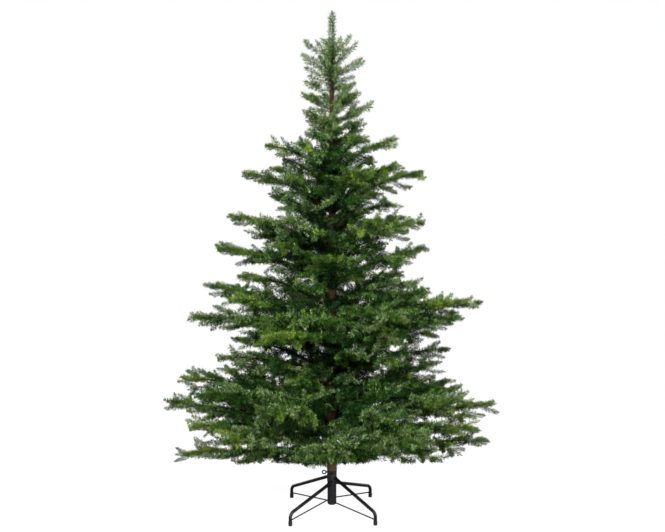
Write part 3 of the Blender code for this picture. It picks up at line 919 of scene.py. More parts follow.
# The tree top's shoots to both sides: where each leaves the pole, how far out its tip is and how high.
TOP_LEFT = [
    (1.915, 0.107, 1.969), (1.866, 0.119, 1.921), (1.842, 0.108, 1.893), (1.826, 0.104, 1.868),
    (1.815, 0.094, 1.834), (1.772, 0.108, 1.812), (1.712, 0.119, 1.760), (1.690, 0.092, 1.703),
    (1.647, 0.113, 1.689), (1.612, 0.100, 1.650), (1.572, 0.082, 1.632), (1.560, 0.101, 1.597),
]
TOP_RIGHT = [
    (1.920, 0.075, 2.000), (1.879, 0.098, 1.961), (1.838, 0.120, 1.908), (1.828, 0.126, 1.886),
    (1.808, 0.090, 1.833), (1.779, 0.092, 1.804), (1.730, 0.114, 1.766), (1.712, 0.106, 1.730),
    (1.640, 0.168, 1.735), (1.650, 0.120, 1.689), (1.618, 0.137, 1.641), (1.566, 0.106, 1.592),
]
TOP_TINTS = [
    (Tint.SPRUCE, Tint.MIST, Tint.FOREST, Tint.KHAKI),
    (Tint.SPRUCE, Tint.MIST, Tint.FOREST, Tint.MOSS),
    (Tint.SPRUCE, Tint.MIST, Tint.LEAF, Tint.KHAKI),
]
LEADER_TINTS = (Tint.SPRUCE, Tint.MOSS, Tint.DEEP, Tint.MIST)
# Painted shade: the dark colours that sprays deep inside the tree take.
INNER_PAINTED_SHADE_MIX = {Tint.SHADE: 3.0, Tint.DEEP: 4.0, Tint.FOREST: 2.4, Tint.SPRUCE: 0.8}
MOODS = [
    {Tint.DEEP: 1.8, Tint.FOREST: 2.6, Tint.SPRUCE: 5.6, Tint.LEAF: 0.8, Tint.MOSS: 0.2},
    {Tint.DEEP: 1.3, Tint.FOREST: 3.2, Tint.LEAF: 3.6, Tint.MOSS: 1.8, Tint.SPRUCE: 0.8},
    {Tint.DEEP: 3.4, Tint.FOREST: 3.8, Tint.LEAF: 1.2, Tint.SPRUCE: 1.2},
]
MATES = {  # the lighter, the darker and the odd colour that go with each
    Tint.SHADE: (Tint.DEEP, Tint.SHADE, Tint.FOREST),
    Tint.DEEP: (Tint.FOREST, Tint.SHADE, Tint.SPRUCE),
    Tint.FOREST: (Tint.LEAF, Tint.DEEP, Tint.MIST),
    Tint.LEAF: (Tint.MOSS, Tint.DEEP, Tint.MIST),
    Tint.MOSS: (Tint.SPRING, Tint.FOREST, Tint.MIST),
    Tint.SPRUCE: (Tint.MIST, Tint.DEEP, Tint.FOREST),
}
RELIEF = (Tint.SPRUCE, Tint.FOREST, Tint.LEAF)  # what takes the place of the darkest colours far out


@dataclass
class Foliage:
    """All the foliage: boughs, twigs and needles, grown by the rule of the solids and carried finer."""

    bark: Material
    stem: Material
    needles: list[Material]
    # Boughs between those of the solids, and short ones halfway up to the next ring.
    wide_gap: float = 108.0
    between_share: float = 0.88
    between_sizes: Span = (0.88, 1.08)
    between_swing: float = 6.0
    between_lifts: Span = (-0.055, 0.045)
    filler_turn: float = 25.0
    filler_swing: float = 12.0
    filler_sizes: Span = (0.86, 1.16)
    filler_lifts: Span = (-0.03, 0.02)
    # A bough's own needles, and where along it its side twigs stand.
    limb_spans: tuple[Span, ...] = ((0.03, 0.40), (0.40, 0.72), (0.72, 1.0))
    first_twig: Span = (0.11, 0.03)
    last_twig: float = 0.97
    last_back_shoot: float = 0.93
    outermost: float = 0.985
    twig_step: float = 0.088
    tip_step: float = 0.051
    twig_play: float = 0.2
    # Side twigs: their splay from the bough, their tilt in turn up and down, and their length.
    splay_root: float = 54.0
    splay_drop: float = 22.0
    splay_play: float = 7.0
    raised: tuple[float, float, float] = (8.0, 34.0, 30.0)
    lowered: tuple[float, float, float] = (-26.0, 6.0, 14.0)
    inner_part: float = 0.6
    levelling: float = 0.55
    side_share: float = 0.40
    side_power: float = 0.85
    side_least: float = 0.04
    side_start: Span = (0.45, 2.2)
    side_extra: Span = (0.036, 0.012)
    side_sizes: Span = (0.82, 1.08)
    side_girth: Span = (0.0013, 0.004)
    # The pairs of small twigs on a long side twig.
    bearing: float = 0.140
    bearing_two: float = 0.20
    pair_span: Span = (0.34, 0.50)
    pair_places: Span = (0.2, 0.8)
    pair_spread: Span = (36.0, 52.0)
    pair_rise: Span = (-0.32, 0.42)
    pair_size: Span = (0.052, 0.32)
    pair_sizes: Span = (0.8, 1.15)
    pair_likeness: float = 0.75
    # Shoots on a bough's back, with the chance of one near the root and further out.
    back_chance: Span = (0.85, 0.48)
    back_near: float = 0.35
    hanging: float = 0.18
    hanging_lift: Span = (-52.0, -26.0)
    standing_lift: Span = (32.0, 66.0)
    back_swing: float = 30.0
    back_size: Span = (0.048, 0.07)
    back_sizes: Span = (0.8, 1.2)
    # Shoots on the pole, dark with painted shade.
    trunk_count: int = 110
    trunk_span: Span = (0.36, 1.50)
    trunk_swing: float = 20.0
    trunk_lift: Span = (12.0, 58.0)
    trunk_sizes: Span = (0.09, 0.17)
    # The tree top: rows of shoots round the pole, small shoots on the low ones, and the leader.
    side_swing: Span = (5.0, 26.0)
    top_rows: int = 8
    top_span: Span = (1.565, 1.890)
    top_swing: float = 16.0
    top_stagger: float = 18.0
    top_gaps: Span = (0.12, 0.42)
    top_sizes: Span = (0.100, 0.135)
    top_play: float = 0.012
    branching_below: float = 1.80
    branching_size: float = 0.11
    branch_places: Span = (0.34, 0.55)
    branch_sizes: Span = (0.34, 0.46)
    branch_rise: Span = (-0.15, 0.2)
    leader_span: Span = (1.84, 2.080)
    leader_girth: float = 0.0050
    leader_crowding: float = 1.7
    # Needles: their length, how many to the metre and how many of them are folded.
    needle: float = 0.0175
    limb_needling: float = 1.05
    top_needle: float = 0.0184
    leader_needle: float = 0.0218
    needle_sizes: Span = (0.90, 1.08)
    crowd: float = 2700.0
    top_crowd: float = 2850.0
    inner_crowd: float = 1400.0
    limb_crowd: float = 2300.0
    folded: float = 0.30
    thin_until: float = 0.45
    thickening: float = 0.35
    sag: float = 0.05
    # Colours by how far out a spray is, with painted shade deep inside, and the boughs low in front that
    # share one mood.
    outer_gain: float = 1.7
    outer_from: float = 0.45
    dark_until: float = 0.70
    dark_fade: float = 4.0
    khaki_from: float = 0.80
    low_front_root: float = 0.40
    low_front: Span = (262.0, 45.0)
    parted_share: float = 0.9
    limb_share: float = 0.88
    limb_shape: tuple[int, int] = (9, 7)
    limb_knots: float = 0.10
    most_faces: int = 192000
    seed: int = 24
    twigs: Twigs = field(default_factory=Twigs)
    nodes: list[str] = field(default_factory=list)
    mood: dict[Tint, float] = field(default_factory=dict)
    draw: random.Random = field(init=False)
    pieces: int = 0

    def build(self) -> None:
        """Grows every bough from the bottom up, then the top, and flushes the twigs piece by piece."""
        limbs = []
        for number, ring in enumerate(RINGS, start=1):
            for name, bough in self.boughs(ring, number):
                limbs.append(bough)
                before, self.twigs = self.twigs, Twigs()
                self.draw = random.Random(f"{self.seed} {number} {bough.azimuth:.1f}")
                self.grow_bough(bough)
                grown, self.twigs = self.twigs, before
                if before.lines and before.face_count() + grown.face_count() > self.most_faces:
                    self.flush()
                self.twigs.join(grown)
                if name:
                    self.nodes.append(name)
        self.draw = random.Random(f"{self.seed} trunk")
        self.trunk_shoots()
        self.flush()
        self.draw = random.Random(f"{self.seed} top")
        self.grow_top()
        self.nodes.append("foliage_top")
        self.flush()
        self.build_limbs(limbs)

    def boughs(self, ring: Ring, number: int) -> list[tuple[str, Bough]]:
        """A ring's boughs, a shorter one in each gap, and short ones halfway up to the next ring.

        Args:
            ring: the ring.
            number: its number in the nodes' names.

        Returns:
            Each bough with the node that it stands for, or with "".
        """
        made = []
        draw = random.Random(f"{self.seed} ring {number}")
        for k, azimuth in enumerate(ring.azimuths, start=1):
            name = f"foliage_{number}_{k}"
            made.append((name, Bough.of(ring, azimuth, MAIN_SHARE, HAND_LIFTS.get(name, 0.0))))
        ordered = sorted(a % 360 for a in ring.azimuths)
        for first, second in zip(ordered, ordered[1:] + [ordered[0] + 360]):
            gaps = 1 if second - first < self.wide_gap else 2
            for k in range(gaps):
                azimuth = first + (second - first) * (k + 1) / (gaps + 1) + spread(draw, self.between_swing)
                share = self.between_share * draw.uniform(*self.between_sizes)
                made.append(("", Bough.of(ring, azimuth, share, draw.uniform(*self.between_lifts))))
        if number < len(RINGS):
            above, rise = RINGS[number].root, (RINGS[number].left[1] - ring.left[1]) / 2
        else:
            above, rise = ring.root + LAST_STEP, LAST_RISE
        middle = replace(ring, root=(ring.root + above) / 2)
        count, reach = FILLERS[number - 1]
        for k in range(count):
            azimuth = 360 * (k + 0.5) / count + self.filler_turn * number + spread(draw, self.filler_swing)
            share = reach * draw.uniform(*self.filler_sizes)
            made.append(("", Bough.of(middle, azimuth, share, rise + draw.uniform(*self.filler_lifts))))
        return made

    def pick_tints(self, outward: float) -> Tints:
        """The colours of a spray: painted shade inside the tree, lighter and yellower towards the tips.

        Args:
            outward: 0 at the trunk, 1 at the tips.

        Returns:
            The colours.
        """
        draw = self.draw
        choice = self.mood if draw.random() < outward * self.outer_gain - self.outer_from else INNER_PAINTED_SHADE_MIX
        tint = draw.choices(list(choice), list(choice.values()))[0]
        if tint in (Tint.SHADE, Tint.DEEP) and draw.random() < (outward - self.dark_until) * self.dark_fade:
            tint = draw.choice(RELIEF)
        lighter, darker, odd = MATES[tint]
        return tint, lighter, darker, Tint.KHAKI if outward > self.khaki_from else odd

    def density(self, outward: float) -> Span:
        """How thick the needles stand, and what share of them are folded, by how far out a spray is."""
        blend = min(1.0, max(0.0, (outward - self.thin_until) / self.thickening))
        return self.inner_crowd + (self.crowd - self.inner_crowd) * blend, self.folded * blend

    def shoot(self, root: Vector, way: Vector, size: float, girth: float = 0.0016, bare: float = 0.05,
              tints: Tints | None = None, top: bool = False) -> Vector:
        """Adds one twig that bends up a little.

        Args:
            root: where it starts.
            way: its direction.
            size: its length.
            girth: its radius at the root.
            bare: the share with no needles.
            tints: its colours, where they aren't picked for its place.
            top: whether it is one of the tree top's, with longer needles.

        Returns:
            Its tip.
        """
        draw = self.draw
        tip = held(root + way * size)
        bend = Vector((draw.gauss(0, 1), draw.gauss(0, 1), draw.gauss(-0.6, 0.8))) * self.sag * size
        needle = (self.top_needle if top else self.needle) * draw.uniform(*self.needle_sizes)
        if (parted(tip) or parted((root + tip) / 2)) and draw.random() < self.parted_share:
            return tip
        outward = outwardness(tip)
        crowd, folded = self.density(outward)
        self.twigs.add(root, (root + tip) / 2 + bend, tip, girth, bare, needle,
                       self.top_crowd if top else crowd, tints or self.pick_tints(outward), folded)
        return tip

    def grow_bough(self, bough: Bough) -> None:
        """Grows one bough: its own needles, its side twigs in pairs with their own, and shoots on its back.

        Args:
            bough: its line.
        """
        length, draw = bough.length, self.draw
        drawn = draw.choice(MOODS)
        middle, half = self.low_front
        low_front = bough.root < self.low_front_root and abs(bough.azimuth % 360 - middle) < half
        self.mood = MOODS[0] if low_front else drawn
        for start, end in self.limb_spans:
            tip = bough.point(end)
            crowd, folded = self.density(outwardness(tip))
            self.twigs.add(bough.point(start), bough.point((start + end) / 2), tip, bough.girth(start), 0.0,
                           self.needle * self.limb_needling, max(crowd, self.limb_crowd),
                           self.pick_tints(outwardness(tip)), folded)
        first, play = self.first_twig
        share, step = first + draw.uniform(0, play), 0
        while share < self.last_twig:
            for side in (-1, 1):
                along = share + spread(draw, self.twig_play) * self.twig_step / length
                self.side_twig(bough, min(along, self.outermost), side, step)
            if share < self.last_back_shoot:
                self.back_shoot(bough, share)
            gap = self.twig_step + (self.tip_step - self.twig_step) * min(1.0, share * 1.5)
            share, step = share + gap / length, step + 1

    def side_twig(self, bough: Bough, along: float, side: int, step: int) -> None:
        """Grows a side twig and, where it is long enough, its own pairs.

        Args:
            bough: the bough that it stands on.
            along: where on the bough it starts.
            side: -1 or 1.
            step: its number along the bough.
        """
        root, length, draw = bough.point(along), bough.length, self.draw
        splay = self.splay_root - self.splay_drop * along
        azimuth = bough.azimuth + side * (splay + spread(draw, self.splay_play))
        low, high, more = self.raised if (step + (side > 0)) % 2 == 0 else self.lowered
        inside = max(0.0, 1 - along / self.inner_part)
        tilt = math.radians(draw.uniform(low, high + more * inside)) * (1 - self.levelling * along)
        way = heading(azimuth, tilt)
        envelope = self.side_share * (1 - along) ** self.side_power + self.side_least
        inner = min(1.0, self.side_start[0] + along * self.side_start[1])
        size = length * envelope * inner + self.side_extra[0] - self.side_extra[1] * along
        size *= draw.uniform(*self.side_sizes)
        size = min(size, (1 - along) * length / math.cos(math.radians(splay)) + self.tip_step * 0.10)
        tints = self.pick_tints(outwardness(root + way * size))
        tip = self.shoot(root, way, size, girth=self.side_girth[0] + self.side_girth[1] * size, tints=tints)
        if size < self.bearing:
            return
        level = way.cross(UP).normalized()
        pairs = 1 if size < self.bearing_two else 2
        for k in range(pairs):
            share = self.pair_span[0] + self.pair_span[1] * (k + draw.uniform(*self.pair_places)) / pairs
            for hand in (-1, 1):
                turn = math.radians(draw.uniform(*self.pair_spread)) * hand
                rise = draw.uniform(*self.pair_rise)
                turned = (way * math.cos(turn) + level * math.sin(turn) + UP * rise).normalized()
                small = self.pair_size[0] + self.pair_size[1] * size * (1 - share)
                small *= draw.uniform(*self.pair_sizes)
                own = tints if draw.random() < self.pair_likeness else None
                self.shoot(root + (tip - root) * share, turned, small, girth=0.0012, bare=0.04, tints=own)

    def back_shoot(self, bough: Bough, share: float) -> None:
        """Grows a short shoot that stands up from the bough, or hangs from it.

        Args:
            bough: the bough that it stands on.
            share: where on the bough it starts.
        """
        draw = self.draw
        chance = draw.random()
        near, far = self.back_chance
        if chance > (near if share < self.back_near else far):
            return
        lifts = self.hanging_lift if chance < self.hanging else self.standing_lift
        lift = math.radians(draw.uniform(*lifts))
        way = heading(bough.azimuth + spread(draw, self.back_swing), lift)
        size = self.back_size[0] + self.back_size[1] * bough.length * (1 - share)
        self.shoot(bough.point(share), way, size * draw.uniform(*self.back_sizes))

    def trunk_shoots(self) -> None:
        """Grows the shoots that rise from between the boughs' roots and fill the tree's inside, dark with
        painted shade.
        """
        self.mood = INNER_PAINTED_SHADE_MIX
        low, high = self.trunk_span
        for number in range(self.trunk_count):
            height = low + (high - low) * (number + 0.5) / self.trunk_count
            azimuth = math.degrees(GOLDEN_TURN) * number + spread(self.draw, self.trunk_swing)
            way = heading(azimuth, math.radians(self.draw.uniform(*self.trunk_lift)))
            root = polar(trunk_radius(height), azimuth, height)
            self.shoot(root, way, self.draw.uniform(*self.trunk_sizes))

    def grow_top(self) -> None:
        """Grows the tree top: shoots to both sides, whorls before and behind, and the leader."""
        draw = self.draw
        for side, shoots in ((180.0, TOP_LEFT), (0.0, TOP_RIGHT)):
            for number, (height, reach, tip_height) in enumerate(shoots):
                swing = (-1) ** number * draw.uniform(*self.side_swing)
                tip = polar(reach / math.cos(math.radians(swing)), side + swing, tip_height)
                self.top_shoot(UP * height, tip, draw.choice(TOP_TINTS))
        first, last = self.top_span
        for number in range(self.top_rows):
            share = number / (self.top_rows - 1)
            for base in (50, 90, 130, 230, 270, 310):
                facing, slanting = self.top_gaps
                if draw.random() < (facing if base in (90, 270) else slanting):
                    continue
                azimuth = base + spread(draw, self.top_swing) + (self.top_stagger if number % 2 else 0)
                lift = math.radians(22 + 26 * share ** 2 + draw.uniform(-6, 10))
                length = draw.uniform(*self.top_sizes)
                foot = UP * (first + (last - first) * share + spread(draw, self.top_play))
                self.top_shoot(foot, foot + heading(azimuth, lift) * length, TOP_TINTS[0])
        start, end = (UP * height for height in self.leader_span)
        self.twigs.add(start, (start + end) / 2, end, self.leader_girth, 0.0, self.leader_needle,
                       self.crowd * self.leader_crowding, LEADER_TINTS, self.folded)

    def top_shoot(self, foot: Vector, tip: Vector, tints: Tints) -> None:
        """Adds a shoot of the tree top, with two small ones on it where it is low and long.

        Args:
            foot: where it starts.
            tip: where it ends.
            tints: its colours.
        """
        way, draw = tip - foot, self.draw
        size = way.length
        way.normalize()
        self.shoot(foot, way, size, bare=0.08, tints=tints, top=True)
        if foot.z > self.branching_below or size < self.branching_size:
            return
        level = way.cross(UP).normalized()
        for hand in (-1, 1):
            turned = (way * 0.78 + level * hand * 0.62 + UP * draw.uniform(*self.branch_rise)).normalized()
            start = foot.lerp(tip, draw.uniform(*self.branch_places))
            self.shoot(start, turned, size * draw.uniform(*self.branch_sizes), tints=tints, top=True)

    def flush(self) -> None:
        """Meshes the twigs gathered so far into a piece of needles and a piece of stems."""
        self.pieces += 1
        needles = self.twigs.needle_mesh(self.seed + self.pieces)
        add_piece(f"needles_{self.pieces}", needles, self.needles, "needles", *self.nodes)
        add_piece(f"twigs_{self.pieces}", self.twigs.stem_mesh(), [self.stem], "needles", *self.nodes)
        self.twigs, self.nodes = Twigs(), []

    def build_limbs(self, boughs: list[Bough]) -> None:
        """Makes every bough's own limb, wound in brown film, as one piece.

        Args:
            boughs: their lines.
        """
        points, faces = [], []
        stations, sides = self.limb_shape
        shares = [self.limb_share * k / (stations - 1) for k in range(stations)]
        for bough in boughs:
            radii = [bough.girth(share) * (1 + self.limb_knots * math.sin(k * 2.3 + bough.azimuth))
                     for k, share in enumerate(shares)]
            path = [bough.point(share) for share in shares]
            rings = sweep(path, polar(1.0, bough.azimuth + 90, 0.0), radii, sides)
            index = len(points) + np.arange(stations * sides).reshape(stations, sides)
            points += [tuple(p) for p in rings.reshape(-1, 3)]
            faces += walls(index[:-1], index[1:]) + [tuple(index[0][::-1]), tuple(index[-1])]
        mesh = bpy.data.meshes.new("limbs")
        mesh.from_pydata(points, [], faces)
        mesh.shade_smooth()
        nodes = [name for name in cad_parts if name.startswith("bough_")]
        add_piece("bough_limbs", mesh, [self.bark], "bark_wrap", *nodes)


# ---------------------------------------------------------------- trunk
# The gold film is painted light, dealt only to the bristles at the wrap's foot.
BRISTLES = {
    "dark": (0.012, 0.009, 0.005), "brown": (0.070, 0.038, 0.018),
    "olive": (0.085, 0.090, 0.026), "gold_painted_light": (0.290, 0.235, 0.100),
}


@dataclass
class Trunk:
    """The pole, wound in brown film above the stand's collar, with short bristles of the same film."""

    bark: Material
    films: list[Material]
    sides: int = 36
    row: float = 0.0036
    wrap_pitch: float = 0.021
    wrap_step: float = 0.0011
    wrap_power: float = 1.6
    crinkle: float = 0.00035
    lump: float = 0.0005
    bare_radius: float = 0.0164
    bare_bottom: float = 0.036
    bottom: float = TRUNK_PROFILE[0][0]
    top: float = 1.955
    bristles: int = 9000
    bristle_sizes: Span = (0.004, 0.0115)
    bristle_half: float = 0.0007
    bristle_tones: Span = (-0.2, 1.1)
    painted_light_foot_from: float = -0.9
    seed: int = 7

    def build(self) -> None:
        """Makes the pole and its bristles."""
        rows = int((self.top - self.bottom) / self.row)
        heights = np.linspace(self.bottom, self.top, rows)[:, None]
        angles = np.arange(self.sides) * math.tau / self.sides
        turns = heights / self.wrap_pitch + angles / math.tau
        draw = np.random.default_rng(self.seed)
        crinkle = draw.normal(0, self.crinkle, (rows, self.sides))
        lumps = self.lump * np.sin(heights * 410 + angles * 3) * np.sin(angles * 5 + heights * 97)
        shingle = self.wrap_step * (turns % 1.0) ** self.wrap_power
        wall = np.interp(heights, *zip(*TRUNK_PROFILE)) - self.wrap_step * 0.6 + shingle + crinkle + lumps
        rings = np.stack([wall * np.cos(angles), wall * np.sin(angles), heights + 0 * wall], axis=-1)
        bare = lathe([(self.bare_radius, z) for z in (self.bare_bottom, self.bottom - 0.004)], self.sides)
        add_piece("trunk_wrap", grid_mesh(np.concatenate([bare, rings])), [self.bark], "bark_wrap", "trunk")
        add_piece("trunk_bristles", self.bristle_mesh(draw), self.films, "bark_wrap", "trunk")

    def bristle_mesh(self, draw: np.random.Generator) -> Mesh:
        """Short blades of film that stand out of the wrap.

        Args:
            draw: the source of chance.

        Returns:
            The mesh.
        """
        many = self.bristles
        height = draw.uniform(self.bottom + 0.004, self.top, many)
        radius = np.interp(height, *zip(*TRUNK_PROFILE))
        turn = draw.uniform(0, math.tau, many)
        spoke = np.stack([np.cos(turn), np.sin(turn), np.zeros(many)], axis=1)
        tangent = np.stack([-np.sin(turn), np.cos(turn), np.zeros(many)], axis=1)
        root = spoke * (radius - 0.0006)[:, None]
        root[:, 2] = height
        lean = draw.normal(0, 0.8, (many, 1))
        aim = unit(spoke * 0.75 + tangent * lean + np.array(UP) * draw.normal(0.3, 0.5, (many, 1)))
        size = draw.uniform(*self.bristle_sizes, (many, 1))
        half = unit(np.cross(aim, spoke + 0.01)) * self.bristle_half
        points = np.stack([root - half, root + half, root + aim * size], axis=1).reshape(-1, 3)
        patch = np.sin(height * 61 + 2 * turn) + np.sin(height * 23 - turn) + draw.normal(0, 0.9, many)
        slots = np.digitize(patch, self.bristle_tones)
        # Painted light: most bristles low on the pole take the gold film.
        slots[(height < FOOT_PAINTED_LIGHT_FADE[0]) & (patch > self.painted_light_foot_from)] = 3
        return array_mesh(points, np.arange(many * 3).reshape(-1, 3), slots)


# ---------------------------------------------------------------- stand
CENTRE = 0.0002  # the radius at which a closed profile stops short of the axis


@dataclass
class Stand:
    """The folding stand: sleeve, collar, four bent legs with foot caps, four braces and a clamping screw."""

    enamel: Material
    # The sleeve's and the collar's enamels are lighter copies of the black enamel: painted light where the
    # foliage shades them.
    sleeve_enamel_painted_light: Material
    collar_enamel_painted_light: Material
    rubber: Material
    steel: Material
    azimuths: dict[str, float] = field(default_factory=lambda: {
        "front_left": 226.35, "front_right": 316.35, "back_right": 46.35, "back_left": 136.35})
    upper_pair: tuple[str, str] = ("front_right", "back_left")
    upper_roots: Span = (0.148, 0.0410)  # the heights of a leg and a brace of the upper pair on the tubes
    lower_roots: Span = (0.121, 0.0555)
    foot_radius: float = 0.247
    leg_radius: float = 0.0070
    leg_bottom: float = 0.004
    brace_radius: float = 0.0027
    brace_end: float = 0.0230
    bend_radius: float = 0.026
    bend_steps: int = 18
    corner_height: float = 0.0505
    sleeve_outer: float = 0.0190
    sleeve_bottom: float = 0.030
    plug_height: float = 0.016
    sleeve_top: float = 0.1308
    collar_outer: float = 0.0205
    collar_top: float = 0.1800
    joint_gap: float = 0.0005
    bore: float = 0.0170
    screw_height: float = 0.1705
    screw_radius: float = 0.0029
    thread: float = 0.0003
    hole_radius: float = 0.0031
    loop_radius: float = 0.0075
    loop_out: float = 0.0330
    loop_wire: float = 0.0027
    sides: int = 64

    def build(self) -> None:
        """Makes every piece of the stand."""
        self.build_sleeve()
        self.build_collar()
        self.build_screw()
        for place, azimuth in self.azimuths.items():
            self.build_leg(place, azimuth)

    def tube(self, outer: float, bottom: float, top: float, steps: int, lip: list[Span]) -> Mesh:
        """An upright tube with an eased lower edge.

        Args:
            outer: its radius.
            bottom: its lower end.
            top: its upper end.
            steps: how many parts its outside has.
            lip: the profile of its upper edge, as steps out from the radius and down from the top.

        Returns:
            The mesh.
        """
        profile = [(self.bore, bottom), (outer - 0.0008, bottom), (outer, bottom + 0.0008)]
        profile += [(outer, bottom + (top - bottom) * k / steps) for k in range(1, steps)]
        profile += [(outer + out, top - down) for out, down in lip] + [(self.bore, top)]
        return grid_mesh(lathe(profile, self.sides), closed=True)

    def build_sleeve(self) -> None:
        """The lower tube with its eased rim, and the plastic plug that closes its foot."""
        outer, foot = self.sleeve_outer, self.sleeve_bottom
        tube = self.tube(outer, foot + self.plug_height, self.sleeve_top, 8, [(0.0, 0.0010), (-0.0010, 0.0)])
        add_piece("sleeve_tube", tube, [self.sleeve_enamel_painted_light], "stand_enamel", "stand_sleeve")
        side = [(-0.0042, 0.0006), (-0.0014, 0.0024), (-0.0002, 0.0056), (0.0004, 0.0085), (0.0004, 0.0148),
                (-0.0002, 0.0156), (-0.0015, 0.0158)]
        profile = [(CENTRE, foot), (outer * 0.55, foot)] + [(outer + out, foot + up) for out, up in side]
        plug = grid_mesh(lathe(profile + [(CENTRE, foot + 0.0158)], self.sides))
        add_piece("sleeve_plug", plug, [self.rubber], "foot_rubber", "stand_sleeve")

    def build_collar(self) -> None:
        """The upper tube with its rolled lip, the clamping screw's hole, and two bolt heads in front."""
        outer, bottom, top = self.collar_outer, self.sleeve_top + self.joint_gap, self.collar_top
        lip = [(0.0001, 0.0060), (0.0007, 0.0042), (0.0008, 0.0012), (0.0, 0.0)]
        tube = self.tube(outer, bottom, top, 6, lip)
        collar = add_piece("collar_tube", tube, [self.collar_enamel_painted_light], "stand_enamel", "stand_collar")
        self.cut_hole(collar)
        head = [(0.0042, -0.0012), (0.0042, 0.0004), (0.0038, 0.0010), (0.0026, 0.0015), (0.0012, 0.0017)]
        bolts = (("collar_rivet", 268.0, bottom + 0.0050), ("collar_screw", 270.0, top - 0.0100))
        for name, azimuth, height in bolts:
            path = [polar(outer + rise, azimuth, height) for _, rise in head]
            mesh = grid_mesh(sweep(path, UP, [radius for radius, _ in head], 24))
            add_piece(name, mesh, [self.steel], "bolt_steel", "stand_collar")

    def cut_hole(self, collar: Object) -> None:
        """Cuts the clamping screw's round hole through the collar's left wall.

        Args:
            collar: the collar.
        """
        path = [polar(radius, 180.0, self.screw_height) for radius in (0.012, 0.028)]
        mesh = grid_mesh(sweep(path, UP, [self.hole_radius] * 2, 24))
        cutter = linked("screw_hole", mesh)
        cut = collar.modifiers.new("screw_hole", "BOOLEAN")
        cut.operation = "DIFFERENCE"
        cut.object = cutter
        finished = collar.evaluated_get(bpy.context.evaluated_depsgraph_get())
        mesh = bpy.data.meshes.new_from_object(finished)
        collar.modifiers.clear()
        collar.data = mesh
        bpy.data.objects.remove(cutter)

    def leg_path(self, height: float, start: float, azimuth: float) -> list[Vector]:
        """A leg's centre line, as in the solids and with a finer bend.

        Args:
            height: where it leaves the tube.
            start: its start's distance from the axis.
            azimuth: where it points.

        Returns:
            The points.
        """
        slope = math.atan2(height - self.corner_height, self.foot_radius - start)
        drop = self.bend_radius * math.tan((math.pi / 2 - slope) / 2)
        line = [(start, height)]
        for k in range(self.bend_steps + 1):
            angle = slope + (math.pi / 2 - slope) * k / self.bend_steps
            line.append((self.foot_radius + self.bend_radius * (math.sin(angle) - 1),
                         self.corner_height - drop + self.bend_radius * math.cos(angle)))
        line.append((self.foot_radius, self.leg_bottom))
        return [polar(radius, azimuth, z) for radius, z in line]

    def build_leg(self, place: str, azimuth: float) -> None:
        """One leg with its weld, its foot cap and its brace.

        Args:
            place: the leg's name.
            azimuth: where it points.
        """
        upper = place in self.upper_pair
        tube = self.collar_outer if upper else self.sleeve_outer
        leg_root, brace_root = self.upper_roots if upper else self.lower_roots
        side = polar(1.0, azimuth + 90, 0.0)
        path = self.leg_path(leg_root, tube - 0.0012, azimuth)
        mesh = grid_mesh(sweep(path, side, [self.leg_radius] * len(path), 28))
        add_piece(f"leg_{place}", mesh, [self.enamel], "stand_enamel", f"stand_leg_{place}")
        self.weld(f"leg_weld_{place}", path[0], path[1], self.leg_radius, f"stand_leg_{place}")

        cap = [(CENTRE, 0.0), (0.0070, 0.0), (0.0080, 0.0008), (0.0082, 0.0022), (0.0082, 0.0165),
               (0.0083, 0.0172), (0.0083, 0.0182), (0.0079, 0.0190), (0.0071, 0.0190), (0.0070, 0.0170)]
        rings = lathe(cap, 40) + np.array(polar(self.foot_radius, azimuth, 0.0))
        add_piece(f"foot_{place}", grid_mesh(rings), [self.rubber], "foot_rubber", f"foot_cap_{place}")

        inner = polar(self.sleeve_outer - 0.0006, azimuth, brace_root)
        outer = polar(self.foot_radius - self.leg_radius + 0.0010, azimuth, self.brace_end)
        wire = [inner.lerp(outer, k / 6) for k in range(7)]
        mesh = grid_mesh(sweep(wire, side, [self.brace_radius] * len(wire), 16))
        add_piece(f"brace_{place}", mesh, [self.enamel], "stand_enamel", f"leg_brace_{place}")
        self.weld(f"brace_weld_{place}", wire[0], wire[1], self.brace_radius, f"leg_brace_{place}")
        self.weld(f"brace_end_weld_{place}", wire[-1], wire[-2], self.brace_radius, f"leg_brace_{place}")

    def weld(self, name: str, root: Vector, ahead: Vector, radius: float, node: str) -> None:
        """A rippled weld bead round the root of a bar.

        Args:
            name: the piece's name.
            root: the bar's end.
            ahead: a point further along it.
            radius: the bar's radius.
            node: the node that it is part of.
        """
        way = (ahead - root).normalized()
        side = way.cross(UP).normalized()
        angles = [math.tau * k / 48 for k in range(48)]
        thick = [radius * 0.30 * (1 + 0.22 * math.sin(7 * a) + 0.12 * math.sin(11 * a + 1)) for a in angles]
        mesh = hoop(root + way * (radius * 0.32), (side, side.cross(way), way), radius, thick, 10)
        add_piece(name, mesh, [self.enamel], "stand_enamel", node)

    def build_screw(self) -> None:
        """The clamping screw: a threaded shank and a bent wire loop."""
        path, radii, steps = [], [], 60
        first, last = self.bore + 0.0004, self.loop_out - self.loop_radius
        for k in range(steps + 1):
            path.append(Vector((-(first + (last - first) * k / steps), 0, self.screw_height)))
            radii.append(self.screw_radius - self.thread * (0.5 + 0.5 * math.sin(k * math.tau / 6)))
        shank = grid_mesh(sweep(path, Vector((0, 1, 0)), radii, 20))
        add_piece("screw_shank", shank, [self.steel], "bolt_steel", "eye_bolt")
        centre = Vector((-self.loop_out, 0, self.screw_height))
        axes = (Vector((1, 0, 0)), UP, Vector((0, 1, 0)))
        loop = hoop(centre, axes, self.loop_radius, [self.loop_wire] * 64, 14)
        add_piece("screw_loop", loop, [self.steel], "bolt_steel", "eye_bolt")


